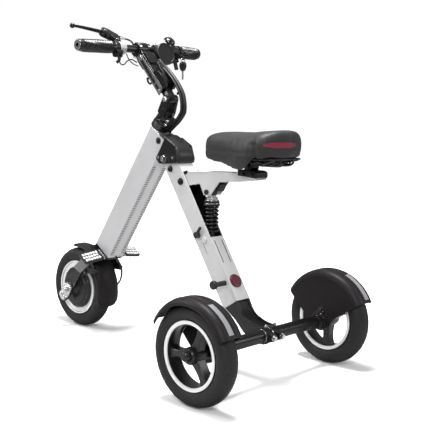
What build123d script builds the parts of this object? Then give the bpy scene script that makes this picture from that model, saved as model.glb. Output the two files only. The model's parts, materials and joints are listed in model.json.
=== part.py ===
from build123d import *
import os
from math import cos, radians, sin

# Folding three-wheeled electric scooter for adults: one driven wheel in front, two behind.
# Units are millimetres.  +X is the travel direction, +Y is the rider's left and +Z is up.
# The origin is on the ground below the middle of the rear axle.
# A leaning battery column carries the steering shaft, and the rear beam folds against it.

os.makedirs("parts", exist_ok=True)

# ---- Driving dimensions --------------------------------------------------------------------------
WHEEL_R = 127.0             # 10 inch pneumatic tyres on all three wheels
TYRE_HALF = 28.0
RIM_R = 84.0
WHEELBASE = 787.0
TRACK = 530.0
COLUMN_ANGLE = 56.0         # lean of the column and of the steering axis, from horizontal
COLUMN_LENGTH = 445.0
COLUMN_HALF = 29.0          # half width of the column
COLUMN_FRONT = 9.0          # the flat front face, ahead of the steering axis
COLUMN_REAR = 64.0          # the rear face, behind the steering axis
FORK_LENGTH = 190.0         # front axle to the foot of the column, along the steering axis
FORK_OFFSET = 7.0           # front axle ahead of the steering axis
PIVOT_BACK = 94.0           # main fold pivot, behind the steering axis
PIVOT_UP = 405.0            # main fold pivot, above the column's foot
BEAM_ANGLE = 56.7           # lean of the rear beam from horizontal
BEAM_LENGTH = 454.0         # main fold pivot to the foot of the beam
BEAM_HALF = 26.0
BEAM_FRONT = 17.0           # front face of the beam, ahead of the pivot line
BEAM_REAR = 38.0            # rear face of the beam, behind the pivot line
STEM_ANGLE = 48.0           # lean of the folding upper stem
STEM_LENGTH = 190.0         # stem fold pivot to the handlebar's centre
STEM_PIVOT_OUT = 10.0       # stem fold pivot, ahead of the steering axis
STEM_PIVOT_UP = 536.0       # stem fold pivot, above the column's foot
BAR_HALF = 229.0
BAR_R = 11.1                # 22.2 mm handlebar tube
STEER_R = 15.0              # steering shaft
WALL = 3.0                  # sheet and extrusion wall
RUN = 0.05                  # radial running clearance
AXLE_TUBE_R = 17.5
AXLE_TUBE_HALF = 222.0
REAR_AXLE_R = 7.5
FENDER_R = 140.0
FENDER_HALF = 36.0
FENDER_FROM = 32.0          # degrees round the wheel from straight ahead, upwards
FENDER_TO = 152.0
SEAT_PIVOT = (-18.6, -83.0)  # seat arm pivot, in the beam's own axes
SHOCK_FOOT = (-16.0, -264.0)  # lower pin of the shock absorber, in the beam's own axes
SHOCK_TOP_Z = 483.0
EYE_PLAY = 1.2              # radial play of the shock's lower eye, where the linkage is open


# ---- Frames --------------------------------------------------------------------------------------
def leaning(origin, degrees, forward):
    """Frame whose +Z leans over by degrees and whose +X points ahead of it (forward) or up and ahead."""
    c = cos(radians(degrees))
    s = sin(radians(degrees))
    if forward:
        return Plane(origin=origin, x_dir=(s, 0, -c), z_dir=(c, 0, s))
    return Plane(origin=origin, x_dir=(s, 0, c), z_dir=(-c, 0, s))


def world(frame, x, z):
    """The (x, z) of a point in the row frame, given in the middle plane of a leaning frame."""
    point = frame.from_local_coords((x, 0, z))
    return point.X, point.Z


front_axle = (WHEELBASE, 0, WHEEL_R)
AXLE_FRAME = leaning(front_axle, COLUMN_ANGLE, False)
COLUMN = leaning(AXLE_FRAME.from_local_coords((-FORK_OFFSET, 0, FORK_LENGTH)), COLUMN_ANGLE, False)
BEAM = leaning(COLUMN.from_local_coords((-PIVOT_BACK, 0, PIVOT_UP)), BEAM_ANGLE, True)
STEM = leaning(COLUMN.from_local_coords((STEM_PIVOT_OUT, 0, STEM_PIVOT_UP)), STEM_ANGLE, True)
SEAT_X, SEAT_Z = world(BEAM, *SEAT_PIVOT)
SHOCK_X, SHOCK_FOOT_Z = world(BEAM, *SHOCK_FOOT)
BAR_X, BAR_Z = world(STEM, 0, STEM_LENGTH)


# ---- Building blocks -----------------------------------------------------------------------------
def block(x0, x1, y0, y1, z0, z1):
    """A box between two corners."""
    return Pos((x0 + x1) / 2, (y0 + y1) / 2, (z0 + z1) / 2) * Box(x1 - x0, y1 - y0, z1 - z0)


def rod_y(radius, y0, y1, x=0.0, z=0.0):
    """A round rod along Y."""
    return Pos(x, (y0 + y1) / 2, z) * Rot(90, 0, 0) * Cylinder(radius, y1 - y0)


def rod_z(radius, z0, z1, x=0.0, y=0.0):
    """A round rod along Z."""
    return Pos(x, y, (z0 + z1) / 2) * Cylinder(radius, z1 - z0)


def rod_x(radius, x0, x1, y=0.0, z=0.0):
    """A round rod along X."""
    return Pos((x0 + x1) / 2, y, z) * Rot(0, 90, 0) * Cylinder(radius, x1 - x0)


def ring_y(outer, inner, y0, y1, x=0.0, z=0.0):
    """A plain ring round a Y axis."""
    return rod_y(outer, y0, y1, x, z) - rod_y(inner, y0 - 1, y1 + 1, x, z)


def side_plate(outline, y0, y1):
    """A face drawn in the XZ plane, thickened from y0 to y1."""
    return Rot(90, 0, 0) * Pos(0, 0, -y1) * extrude(outline, amount=y1 - y0)


def outline(*points, radius=0.0):
    """A closed polygon, with every corner rounded."""
    face = make_face(Polyline(*points, close=True))
    if radius:
        face = fillet(face.vertices(), radius)
    return face


def mirrored(solid):
    """A solid and its twin on the other side of the XZ plane."""
    return [solid, mirror(solid, about=Plane.XZ)]


def spun(section, x, y, z):
    """A section drawn as (radius, along Y), turned once round a Y axis through x, z."""
    return Pos(x, y, z) * revolve(section, axis=Axis.Y)


def hex_nut(across, y0, y1, x=0.0, z=0.0, bore=0.0):
    """A hexagon nut along Y."""
    section = RegularPolygon(across / 2, 6, major_radius=False)
    nut = Pos(x, y0, z) * Rot(-90, 0, 0) * extrude(section, y1 - y0)
    if bore:
        nut -= rod_y(bore, y0 - 1, y1 + 1, x, z)
    return nut


def through_bolt(radius, half, head, x=0.0, z=0.0, head_height=5.0):
    """A cross bolt along Y with a round head at each end."""
    bolt = rod_y(radius, -half, half, x, z)
    bolt += rod_y(head, half, half + head_height, x, z)
    return bolt + rod_y(head, -half - head_height, -half, x, z)


def polar(radius, degrees):
    """A point at an angle from +X, turning towards the second axis."""
    return radius * cos(radians(degrees)), radius * sin(radians(degrees))


def crown_section(radius, y0, y1, drop, shoulder):
    """Section of a wheel guard as (radius, along Y): flat across the middle, rounded down to both edges."""
    edge = radius - drop
    rise, run = polar(1, 45)
    lines = []
    for depth in (0, WALL):
        near = (edge, y0 + depth)
        near_mid = (edge + drop * rise - 0.7 * depth, y0 + shoulder * (1 - run) + 0.7 * depth)
        near_top = (radius - depth, y0 + shoulder)
        far_top = (radius - depth, y1 - shoulder)
        far_mid = (edge + drop * rise - 0.7 * depth, y1 - shoulder * (1 - run) - 0.7 * depth)
        far = (edge, y1 - depth)
        lines += [ThreePointArc(near, near_mid, near_top), Line(near_top, far_top),
                  ThreePointArc(far_top, far_mid, far)]
    lines += [Line((edge, y0), (edge, y0 + WALL)), Line((edge, y1), (edge, y1 - WALL))]
    return make_face(lines)


def save(name, *solids):
    """Write one named sub-part as a STEP file."""
    pieces = []
    for solid in solids:
        pieces += solid.solids()
    export_step(pieces[0] if len(pieces) == 1 else Compound(children=pieces), f"parts/{name}.step")


# ---- Column: extrusion, caps, battery, bearings --------------------------------------------------
NOSE_R = 24.0
SHAFT_BORE_R = 17.5
BEARING_R = 20.0
BEARING_HEIGHT = 12.0
BAY_FRONT = -22.0           # the battery bay ends here, behind the steering bore
CAP_THICKNESS = 8.0
COLLAR_TOP = 463.0
FOOT_Y = 40.0               # hinge pins of the footrests: out from the middle plane
FOOT_V = -2.0               # and above the column's foot
FOOT_PIN_R = 3.0


def column_section():
    """Outer outline of the extrusion: a box with a round steering nose."""
    box = Rectangle(COLUMN_FRONT + COLUMN_REAR, 2 * COLUMN_HALF)
    box = Pos((COLUMN_FRONT - COLUMN_REAR) / 2, 0) * box
    return fillet(box.vertices(), 3) + Circle(NOSE_R)


def column():
    """Extruded column with a steering bore in front and a battery bay behind."""
    body = extrude(column_section(), COLUMN_LENGTH)
    body -= rod_z(SHAFT_BORE_R, -1, COLUMN_LENGTH + 1)
    for z0 in (-1, COLUMN_LENGTH - BEARING_HEIGHT):
        body -= rod_z(BEARING_R, z0, z0 + BEARING_HEIGHT + 1)
    bay_half = COLUMN_HALF - WALL
    bay = block(-COLUMN_REAR + WALL, BAY_FRONT, -bay_half, bay_half, -1, COLUMN_LENGTH + 1)
    return COLUMN * (body - bay)


def end_cap():
    """Foot plate of the column with the knuckles that carry the footrests."""
    cap = Pos(0, 0, -CAP_THICKNESS) * extrude(column_section(), CAP_THICKNESS)
    cap -= rod_z(STEER_R + 2, -CAP_THICKNESS - 1, 1)
    for u0 in (-60, -34):
        knuckle = rod_x(6, u0, u0 + 10, FOOT_Y, FOOT_V)
        knuckle += block(u0, u0 + 10, 20, FOOT_Y, FOOT_V - 6, FOOT_V + 2)
        for solid in mirrored(knuckle):
            cap += solid
    for pin_hole in mirrored(rod_x(FOOT_PIN_R, -61, -23, FOOT_Y, FOOT_V)):
        cap -= pin_hole
    return COLUMN * cap


def battery_pack():
    """Battery sliding in the bay behind the steering bore."""
    gap = 1.5
    pack = block(-COLUMN_REAR + WALL + gap, BAY_FRONT - gap, -COLUMN_HALF + WALL + gap,
                 COLUMN_HALF - WALL - gap, 20, 380)
    return COLUMN * fillet(pack.edges().filter_by(Axis.Z), 4)


def head_bearings():
    """Upper and lower steering bearings."""
    rings = []
    for z0 in (0, COLUMN_LENGTH - BEARING_HEIGHT):
        ring = rod_z(BEARING_R, z0, z0 + BEARING_HEIGHT)
        ring -= rod_z(STEER_R + RUN, z0 - 1, z0 + BEARING_HEIGHT + 1)
        rings.append(COLUMN * ring)
    return rings


def headset_collar():
    """Ribbed ring that closes the upper bearing."""
    ring = rod_z(26, COLUMN_LENGTH, COLLAR_TOP)
    for z0 in (449, 454, 459):
        ring -= rod_z(27, z0, z0 + 1.6) - rod_z(24.5, z0, z0 + 1.6)
    return COLUMN * (ring - rod_z(STEER_R + 0.4, COLUMN_LENGTH - 1, COLLAR_TOP + 1))


# ---- Main hinge at the top of the column ---------------------------------------------------------
CHEEK_IN = 27.0
CHEEK_OUT = 33.0
PIVOT_R = 6.0


def hinge_bracket():
    """Forked bracket on the column's rear face that holds the fold pivot."""
    rear = -COLUMN_REAR
    cheek = outline((rear, 444), (rear, 386), (-84, 381), (-139, 424), (-139, 436), (-122, 444), radius=2)
    bracket = block(rear - 4, rear, -CHEEK_OUT, CHEEK_OUT, 387, 443)
    for cheek_solid in mirrored(side_plate(cheek, CHEEK_IN, CHEEK_OUT)):
        bracket += cheek_solid
    bracket -= rod_y(PIVOT_R, -CHEEK_OUT - 1, CHEEK_OUT + 1, -PIVOT_BACK, PIVOT_UP)
    return COLUMN * bracket


def hinge_cover():
    """Smooth moulded cover over the battery bay and the hinge."""
    low = COLUMN_LENGTH + 0.5
    outer = outline((-28, low), (-28, 452), (-60, 457), (-100, 459), (-122, 456), (-143, low))
    inner = outline((-31, low - 9), (-31, 450), (-61, 454), (-100, 456), (-120, 453), (-140, low),
                    (-140, low - 9))
    shell = side_plate(outer, -CHEEK_OUT, CHEEK_OUT) - side_plate(inner, -CHEEK_OUT + WALL, CHEEK_OUT - WALL)
    shell += block(-143, -140, -CHEEK_OUT, CHEEK_OUT, 430, low + 1)
    return COLUMN * shell


def column_bolts():
    """The main fold pivot bolt, and the cross bolt at the top of the column's side."""
    pivot = through_bolt(PIVOT_R, CHEEK_OUT, 9, -PIVOT_BACK, PIVOT_UP)
    cross_heads = mirrored(rod_y(6.5, COLUMN_HALF, COLUMN_HALF + 4, -42, 430))
    return [COLUMN * solid for solid in (pivot, *cross_heads)]


# ---- Footrests -----------------------------------------------------------------------------------
FOOT_OUT = 109.0            # outer end of the tread plate
FOOT_DROOP = 9.0            # the plates hang this many degrees below level
RIB_PITCH = 9.2


def footrest(side):
    """Folding foot plate with a raised tread and border, hinged at the foot of the column."""
    plate = block(-62, -22, 47, FOOT_OUT, FOOT_V - 4, FOOT_V + 4)
    plate = fillet(plate.edges().filter_by(Axis.Z), 5)
    plate -= block(-59, -25, 50, FOOT_OUT - 3, FOOT_V + 1.5, FOOT_V + 5)
    for row in range(3):
        u0 = -57 + 11 * row
        for step in range(6):
            rib_y = 51.5 + RIB_PITCH * step + 3 * (row % 2)
            plate += block(u0, u0 + 8, rib_y, rib_y + 5, FOOT_V + 1, FOOT_V + 4.6)
    plate += rod_x(5.5, -49.5, -34.5, FOOT_Y, FOOT_V)
    plate += block(-49.5, -34.5, FOOT_Y, 48, FOOT_V - 4, FOOT_V + 4)
    plate -= rod_x(FOOT_PIN_R + RUN, -50, -34, FOOT_Y, FOOT_V)
    plate = Pos(0, FOOT_Y, FOOT_V) * Rot(-FOOT_DROOP, 0, 0) * Pos(0, -FOOT_Y, -FOOT_V) * plate
    if side < 0:
        plate = mirror(plate, about=Plane.XZ)
    return COLUMN * plate


def footrest_pins():
    """Hinge pins of the two footrests."""
    return [COLUMN * solid for solid in mirrored(rod_x(FOOT_PIN_R, -60, -24, FOOT_Y, FOOT_V))]


# ---- Rear beam -----------------------------------------------------------------------------------
OPEN_TOP = -62.0            # the rear face is open between these heights for the seat arm and the shock
OPEN_FOOT = -266.0
QUICK_X = -2.0               # locking knob, in the beam's own axes
QUICK_Z = -241.0


def rear_beam():
    """Folded channel: closed box at the foot, open at the rear where the shock absorber sits."""
    side = Pos(-10.5, -BEAM_LENGTH / 2 - 12) * Rectangle(BEAM_FRONT + BEAM_REAR, BEAM_LENGTH - 24)
    side += Circle(22) + Pos(-2.5, -15) * Rectangle(39, 30)
    tube = side_plate(side, -BEAM_HALF, BEAM_HALF)
    bay_half = BEAM_HALF - WALL
    inside = block(-BEAM_REAR + WALL, BEAM_FRONT - WALL, -bay_half, bay_half, -BEAM_LENGTH - 1, 30)
    opening = block(-BEAM_REAR - 1, -BEAM_REAR + WALL + 1, -bay_half, bay_half, OPEN_FOOT, OPEN_TOP)
    tube -= inside + opening
    for y0 in (-BEAM_HALF, BEAM_HALF - 10):
        tube += rod_y(13, y0, y0 + 10)
    tube -= rod_y(PIVOT_R + RUN, -30, 30)
    for x, z, radius in ((-1, -33, 4), (*SEAT_PIVOT, 5), (QUICK_X, QUICK_Z, 4), (*SHOCK_FOOT, 5)):
        tube -= rod_y(radius, -30, 30, x, z)
    return BEAM * tube


def shock_guide():
    """Black liner inside the channel behind the shock absorber."""
    liner = block(8, BEAM_FRONT - WALL, -22.8, 22.8, -232, -118)
    for y0 in (-22.8, 21.2):
        liner += block(-BEAM_REAR + 4, 9, y0, y0 + 1.6, -232, -118)
    return BEAM * liner


def beam_bolts():
    """Cross bolts of the beam: upper tie bolt, seat pivot, and the shock's lower pin."""
    bolts = [through_bolt(4, BEAM_HALF, 7.5, -1, -33, 4.5),
             through_bolt(5, BEAM_HALF, 8, *SEAT_PIVOT),
             through_bolt(5, BEAM_HALF, 8, *SHOCK_FOOT, 3)]
    return [BEAM * bolt for bolt in bolts]


def rear_reflector():
    """Round reflector on the lower rear face."""
    disc = Pos(-BEAM_REAR - 3, 0, -400) * Rot(0, 90, 0) * Cylinder(17.5, 6)
    return BEAM * fillet(disc.edges().sort_by(Axis.X)[0], 1.5)


def side_peg():
    """Mushroom peg on the beam's left side that hooks the folded frame."""
    peg = rod_y(7, BEAM_HALF, 67, -24, -396) + rod_y(12, 66, 75, -24, -396)
    return BEAM * fillet(peg.edges().sort_by(Axis.Y)[-1], 3)


def quick_release():
    """Locking knob with a small lever on the beam's left side."""
    knob = rod_y(4 - RUN, BEAM_HALF - 6, BEAM_HALF + 1, QUICK_X, QUICK_Z)
    knob += rod_y(9, BEAM_HALF + 0.2, BEAM_HALF + 11, QUICK_X, QUICK_Z)
    arm = Pos(QUICK_X - 12, QUICK_Z + 6) * Rot(0, 0, -25) * SlotCenterToCenter(22, 7)
    return BEAM * (knob + side_plate(arm, BEAM_HALF + 5, BEAM_HALF + 9))


# ---- Yoke and rear axle --------------------------------------------------------------------------
CLAMP_R = 22.5
LUG_OUT = 30.0              # the clamp lugs reach this far behind the axle
YOKE_HALF = 24.0


def yoke():
    """Cast arm that curves back from the beam's foot and splits into two axle clamps."""
    foot_front = world(BEAM, BEAM_FRONT, -BEAM_LENGTH)
    foot_rear = world(BEAM, -BEAM_REAR, -BEAM_LENGTH)
    clamp_low = (8, WHEEL_R - 21)
    clamp_high = (-14, WHEEL_R + 19)
    under = ThreePointArc(foot_front, (72, 145), clamp_low)
    over = ThreePointArc(clamp_high, (34, 168), foot_rear)
    face = make_face(under + Line(clamp_low, clamp_high) + over + Line(foot_rear, foot_front))
    arm = side_plate(face, -YOKE_HALF, YOKE_HALF)
    arm += rod_y(CLAMP_R, -YOKE_HALF, YOKE_HALF, 0, WHEEL_R)
    # The casting is a C section: its hollow opens to the rear, between two raised edges.
    over_in = ThreePointArc((2, WHEEL_R + 40), (44, 160), (92, 196))
    hollow = make_face(over_in + Line((92, 196), (60, 240)) + Line((60, 240), (-20, 190))
                       + Line((-20, 190), (2, WHEEL_R + 40)))
    arm -= side_plate(hollow, -YOKE_HALF + 6, YOKE_HALF - 6)
    arm += block(-LUG_OUT, -10, -YOKE_HALF + 2, YOKE_HALF - 2, WHEEL_R - 9, WHEEL_R + 9)
    arm -= block(-40, 34, -5, 5, WHEEL_R - 30, WHEEL_R + 60)
    arm -= rod_y(AXLE_TUBE_R, -YOKE_HALF - 1, YOKE_HALF + 1, 0, WHEEL_R)
    foot = -BEAM_LENGTH
    arm -= BEAM * block(-BEAM_REAR - 5, BEAM_FRONT + 5, -YOKE_HALF - 1, YOKE_HALF + 1, foot, foot + 60)
    gap = WALL + 0.5
    plug_half = BEAM_HALF - gap
    plug = block(-BEAM_REAR + gap, BEAM_FRONT - gap, -plug_half, plug_half, foot - 4, foot + 28)
    return arm + BEAM * plug


def axle_tube():
    """Rear axle tube with thick ends and the two flanges that carry the fenders."""
    section = Pos((AXLE_TUBE_R + 13.5) / 2, 0) * Rectangle(AXLE_TUBE_R - 13.5, 2 * AXLE_TUBE_HALF)
    for end in (1, -1):
        plug_mid = end * (AXLE_TUBE_HALF - 8)
        section += Pos((REAR_AXLE_R + 15) / 2, plug_mid) * Rectangle(15 - REAR_AXLE_R, 16)
        section += Pos((REAR_AXLE_R + 28) / 2, end * (AXLE_TUBE_HALF + 3)) * Rectangle(28 - REAR_AXLE_R, 6)
    return spun(section, 0, 0, WHEEL_R)


def axle_bolts():
    """Pinch bolts of the two axle clamps, and the bolts that hold the fenders."""
    bolts = []
    for y in (-14, 14):
        head = Pos(-LUG_OUT - 7, y, WHEEL_R) * Rot(0, 90, 0) * extrude(RegularPolygon(6.5, 6), 7)
        bolts.append(head)
    for angle in (20, 160):
        x, z = polar(22, angle)
        y0 = AXLE_TUBE_HALF + 6 + WALL
        bolts += mirrored(rod_y(3.5, y0, y0 + 2.5, x, WHEEL_R + z))
    return bolts


def rear_axle():
    """Steel axle through both rear wheels, with its end nuts."""
    shaft = rod_y(REAR_AXLE_R, -TRACK / 2 - 36, TRACK / 2 + 36, 0, WHEEL_R)
    nuts = mirrored(hex_nut(20, TRACK / 2 + 27.5, TRACK / 2 + 36, 0, WHEEL_R, REAR_AXLE_R))
    return [shaft, *nuts]


PANEL_LOW = -14.0           # foot of the fender's inner panel, from the axle
PANEL_FRONT = (53.0, 4.0)   # corner where the panel's lower edge turns up to the crown
PANEL_REAR = (-80.0, 35.0)


def fender(side):
    """Fender with a rounded crown and a full inner panel bolted to the axle flange."""
    inner_y = AXLE_TUBE_HALF + 6
    outer_y = TRACK / 2 + FENDER_HALF
    section = crown_section(FENDER_R, inner_y, outer_y, 16, 22)
    section += Pos((FENDER_R + 2) / 2, inner_y + WALL / 2) * Rectangle(FENDER_R - 34, WALL)
    guard = spun(section, 0, 0, WHEEL_R)
    reach = 2 * FENDER_R
    cut = outline((0, PANEL_LOW), PANEL_FRONT, polar(1.1 * FENDER_R, FENDER_FROM), (reach, -reach),
                  (-reach, -reach), polar(1.1 * FENDER_R, FENDER_TO), PANEL_REAR)
    guard -= Pos(0, 0, WHEEL_R) * side_plate(cut, inner_y - 1, outer_y + 1)
    boss = ring_y(30, 18, inner_y, inner_y + WALL, 0, WHEEL_R)
    guard += boss - block(-40, 40, inner_y - 1, inner_y + 4, 0, WHEEL_R - 20)
    return guard if side > 0 else mirror(guard, about=Plane.XZ)


def fender_strips():
    """Grey strips inlaid on the rear crown of each fender."""
    strip = Pos(FENDER_R + 0.6, TRACK / 2 + 6) * Rectangle(1.2, 16)
    ring = revolve(strip, axis=Axis.Y, revolution_arc=38)
    return mirrored(Pos(0, 0, WHEEL_R) * Rot(0, -149, 0) * ring)


# ---- Wheels --------------------------------------------------------------------------------------
HUB_HALF = 26.0
BEARING_OUT = 15.0
LEFT_SPOKE = 114.0          # where the first of three spokes points, from straight ahead, upwards
RIGHT_SPOKE = 30.0
MOTOR_R = 62.0
MOTOR_HALF = 33.0
FRONT_AXLE_R = 6.0


def tyre_section():
    """Round tyre section with a flat seat on the rim."""
    mid = (WHEEL_R + RIM_R - 4) / 2
    ring = Pos(mid, 0) * Ellipse(WHEEL_R - mid, TYRE_HALF)
    hollow = Pos(mid - 3, 0) * Ellipse(WHEEL_R - mid - 7, TYRE_HALF - 7)
    seat = Pos(RIM_R - 5, 0) * Rectangle(12, 60)
    return ring - hollow - seat


def tyre(x, y):
    """A pneumatic tyre round a wheel centred at x, y."""
    return spun(tyre_section(), x, y, WHEEL_R)


def rear_wheel(y, first_spoke):
    """Cast wheel: rim with bright lips, three spokes and a hub."""
    rim = Pos(RIM_R - 8, 0) * Rectangle(4, 44) + Pos(RIM_R - 4, 0) * Rectangle(6, 30)
    for side in (1, -1):
        rim += Pos(RIM_R - 5, side * 20) * Rectangle(10, 3.4)
    rim -= tyre_section()
    wheel = spun(rim, 0, y, WHEEL_R)
    wheel += ring_y(20, REAR_AXLE_R + 3, y - HUB_HALF, y + HUB_HALF, 0, WHEEL_R)
    rim_foot = RIM_R - 7
    spoke = outline((14, -13), (46, -9), (rim_foot, -16), (rim_foot, 16), (46, 9), (14, 13))
    for step in range(3):
        turn = Rot(0, -first_spoke - 120 * step, 0)
        wheel += Pos(0, y, WHEEL_R) * turn * side_plate(spoke, -13, 13)
    wheel -= rod_y(REAR_AXLE_R + 3, y - 40, y + 40, 0, WHEEL_R)
    for end in (1, -1):
        y0 = y + end * (HUB_HALF - 4.5)
        wheel -= rod_y(BEARING_OUT, y0 - 5, y0 + 5, 0, WHEEL_R)
    return wheel


def wheel_bearings(y):
    """Two ball bearings in a rear hub, each as one ring."""
    rings = []
    for end in (1, -1):
        y0 = y + end * (HUB_HALF - 4.5)
        rings.append(ring_y(BEARING_OUT, REAR_AXLE_R + RUN, y0 - 4.5, y0 + 4.5, 0, WHEEL_R))
    return rings


def front_wheel():
    """Hub motor cast in one with its rim."""
    hub = Pos(MOTOR_R / 2, 0) * Rectangle(MOTOR_R, 2 * MOTOR_HALF)
    hub = fillet(hub.vertices().filter_by_position(Axis.X, MOTOR_R - 1, MOTOR_R + 1), 8)
    rim = Pos((MOTOR_R + RIM_R - 6) / 2 - 1, 0) * Rectangle(RIM_R - 4 - MOTOR_R, 40)
    for side in (1, -1):
        rim += Pos(RIM_R - 3, side * 20) * Rectangle(12, 3.4)
    section = hub + (rim - tyre_section()) - Pos(FRONT_AXLE_R / 2, 0) * Rectangle(FRONT_AXLE_R + 2 * RUN, 80)
    return spun(section, WHEELBASE, 0, WHEEL_R)


# ---- Fork and steering ---------------------------------------------------------------------------
LEG_IN = 46.0
LEG_OUT = 54.0
AXLE_U = FORK_OFFSET
AXLE_V = -FORK_LENGTH
STEM_TUBE_TOP = 508.0


def fork():
    """Crown, two flat legs with thick shoes, and the steering shaft that runs up through the column."""
    body = rod_z(STEER_R, -42, 500) - rod_z(STEER_R - 4, -30, 501)
    crown = block(-16, 16, -LEG_OUT, LEG_OUT, -42, -12)
    body += fillet(crown.edges().filter_by(Axis.Y), 5)
    leg = outline((-15, -40), (15, -40), (AXLE_U + 15, AXLE_V + 30), (AXLE_U + 18, AXLE_V - 44),
                  (AXLE_U - 10, AXLE_V - 44), (AXLE_U - 15, AXLE_V + 30), radius=4)
    shoe = Pos(AXLE_U + 4, AXLE_V - 17) * RectangleRounded(30, 62, 6)
    for solid in mirrored(side_plate(leg, LEG_IN, LEG_OUT) + side_plate(shoe, LEG_OUT - 1, LEG_OUT + 7)):
        body += solid
    return COLUMN * (body - rod_y(FRONT_AXLE_R, -80, 80, AXLE_U, AXLE_V))


def front_axle_set():
    """Motor axle clamped in the fork, with its nuts and washers."""
    shaft = rod_y(FRONT_AXLE_R, -76, 76, AXLE_U, AXLE_V)
    pieces = [shaft]
    for solid in mirrored(hex_nut(19, LEG_OUT + 7, LEG_OUT + 17, AXLE_U, AXLE_V, FRONT_AXLE_R)):
        pieces.append(solid)
    for solid in mirrored(ring_y(11, FRONT_AXLE_R, MOTOR_HALF + 1, LEG_IN, AXLE_U, AXLE_V)):
        pieces.append(solid)
    return [COLUMN * solid for solid in pieces]


def guard_arc(section, from_angle, to_angle):
    """A guard's section turned round the front wheel between two angles from straight ahead."""
    arc = revolve(section, axis=Axis.Y, revolution_arc=to_angle - from_angle)
    return Pos(WHEELBASE, 0, WHEEL_R) * Rot(0, -to_angle, 0) * arc


def front_fender():
    """Small guard over the top of the front wheel, hung from the crown."""
    guard = guard_arc(crown_section(FENDER_R, -26, 26, 8, 14), 83, 126)
    return guard + COLUMN * block(4, 16, -12, 12, -52, -42)


def front_mudguard():
    """Deep guard behind the front wheel, held between the fork legs."""
    half = 38
    section = crown_section(FENDER_R + 2, -half, half, 8, 10)
    for side in (1, -1):
        section += Pos(FENDER_R - 14, side * (half - WALL / 2)) * Rectangle(18, WALL)
    guard = guard_arc(section, 128, 198)
    for solid in mirrored(rod_y(5, half - 2, LEG_IN, -8, -57)):
        guard += COLUMN * solid
    return guard


def lower_stem():
    """Round stem clamped on the steering shaft, with the ears of the stem's fold."""
    stem = rod_z(24, COLLAR_TOP + 1, COLLAR_TOP + 11) + rod_z(20, COLLAR_TOP + 10, STEM_TUBE_TOP)
    ear = make_hull([*(Pos(STEM_PIVOT_OUT, STEM_PIVOT_UP) * Circle(13)).edges(),
                     *(Pos(2, STEM_TUBE_TOP - 12) * Rectangle(32, 14)).edges()])
    for solid in mirrored(side_plate(ear, 11, 19)):
        stem += solid
    stem -= rod_z(STEER_R, 400, 500.5)
    return COLUMN * (stem - rod_y(5, -30, 30, STEM_PIVOT_OUT, STEM_PIVOT_UP))


def stem_pin():
    """Fold pin of the stem."""
    return COLUMN * through_bolt(5, 19, 8, STEM_PIVOT_OUT, STEM_PIVOT_UP, 4)


# ---- Folding upper stem and handlebar ------------------------------------------------------------
STEM_HALF = 20.0
STEM_FOOT = 34.0
LATCH_X = -22.0             # latch pin, in the stem's own axes
LATCH_Z = 46.0
LATCH_HALF = 9.0
LEFT_GRIP_IN = 94.0
RIGHT_GRIP_IN = 142.0
PERCH_Y = 78.0              # brake clamp on the bar
LEVER_Y = 102.0             # brake lever's pivot
LEVER_REACH = 62.0          # brake lever's pivot, from the bar's axis
LEVER_PIN_R = 3.0
PERCH_ANGLE = 44.0          # the brake lever stands up and ahead of the bar
THROTTLE_Y = -124.0
THROTTLE_ANGLE = -110.0
THROTTLE_REACH = 28.0
DISPLAY_Y = -55.0
DISPLAY_TILT = -72.0
BELL_Y = -94.0
BELL_ANGLE = 122.0
BELL_BASE = 32.0
KEY_EYE = (BAR_X - 49, BAR_Z - 19)
KEY_RING_R = 8.0


def upper_stem():
    """Rectangular stem with slotted sides, a fold barrel at its foot and a bar clamp at its head."""
    stem = block(-13, 13, -STEM_HALF, STEM_HALF, STEM_FOOT, 174)
    stem = fillet(stem.edges().filter_by(Axis.Z), 3)
    stem -= block(-10, 10, -STEM_HALF + WALL, STEM_HALF - WALL, STEM_FOOT + 8, 166)
    for step in range(4):
        slot = Pos(0, 58 + 30 * step) * Rot(0, 0, 90) * SlotCenterToCenter(8 + 6 * (step % 2), 9)
        stem -= side_plate(slot, -30, 30)
    stem += block(-13, 8, -10.5, 10.5, 0, STEM_FOOT + 1)
    stem += rod_y(13, -10.5, 10.5)
    stem += rod_y(18, -20, 20, 0, STEM_LENGTH)
    stem -= rod_y(BAR_R, -30, 30, 0, STEM_LENGTH)
    for y0 in (LATCH_HALF + 0.5, -LATCH_HALF - 4.5):
        stem += block(-28, -12, y0, y0 + 4, LATCH_Z - 8, LATCH_Z + 8)
    stem -= rod_y(3, -20, 20, LATCH_X, LATCH_Z)
    return STEM * (stem - rod_y(5 + RUN, -30, 30))


def stem_latch():
    """Lever that locks the folded stem, with its cross pin."""
    lever = rod_y(6, -LATCH_HALF, LATCH_HALF, LATCH_X, LATCH_Z)
    lever += block(LATCH_X - 5, LATCH_X + 3, -LATCH_HALF, LATCH_HALF, LATCH_Z, LATCH_Z + 64)
    lever += rod_y(3 - RUN, -LATCH_HALF - 4, LATCH_HALF + 4, LATCH_X, LATCH_Z)
    return STEM * lever


def handlebar():
    """Straight handlebar tube."""
    return ring_y(BAR_R, BAR_R - 2, -BAR_HALF + 2, BAR_HALF - 2, BAR_X, BAR_Z)


def grips():
    """Two moulded grips with a flange at the inner end; the right one is short to clear the throttle."""
    grips_made = []
    for inner, outer, flange in ((LEFT_GRIP_IN, BAR_HALF, 4), (-RIGHT_GRIP_IN, -BAR_HALF, -4)):
        grip = ring_y(16, BAR_R, min(inner, outer), max(inner, outer), BAR_X, BAR_Z)
        grip += ring_y(20, BAR_R, min(inner, inner + flange), max(inner, inner + flange), BAR_X, BAR_Z)
        grips_made.append(grip)
    return grips_made


def at_bar(solid, angle):
    """A solid drawn round the bar's axis with +X outwards, turned up to an angle and placed on the bar."""
    return Pos(BAR_X, 0, BAR_Z) * Rot(0, -angle, 0) * solid


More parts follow.
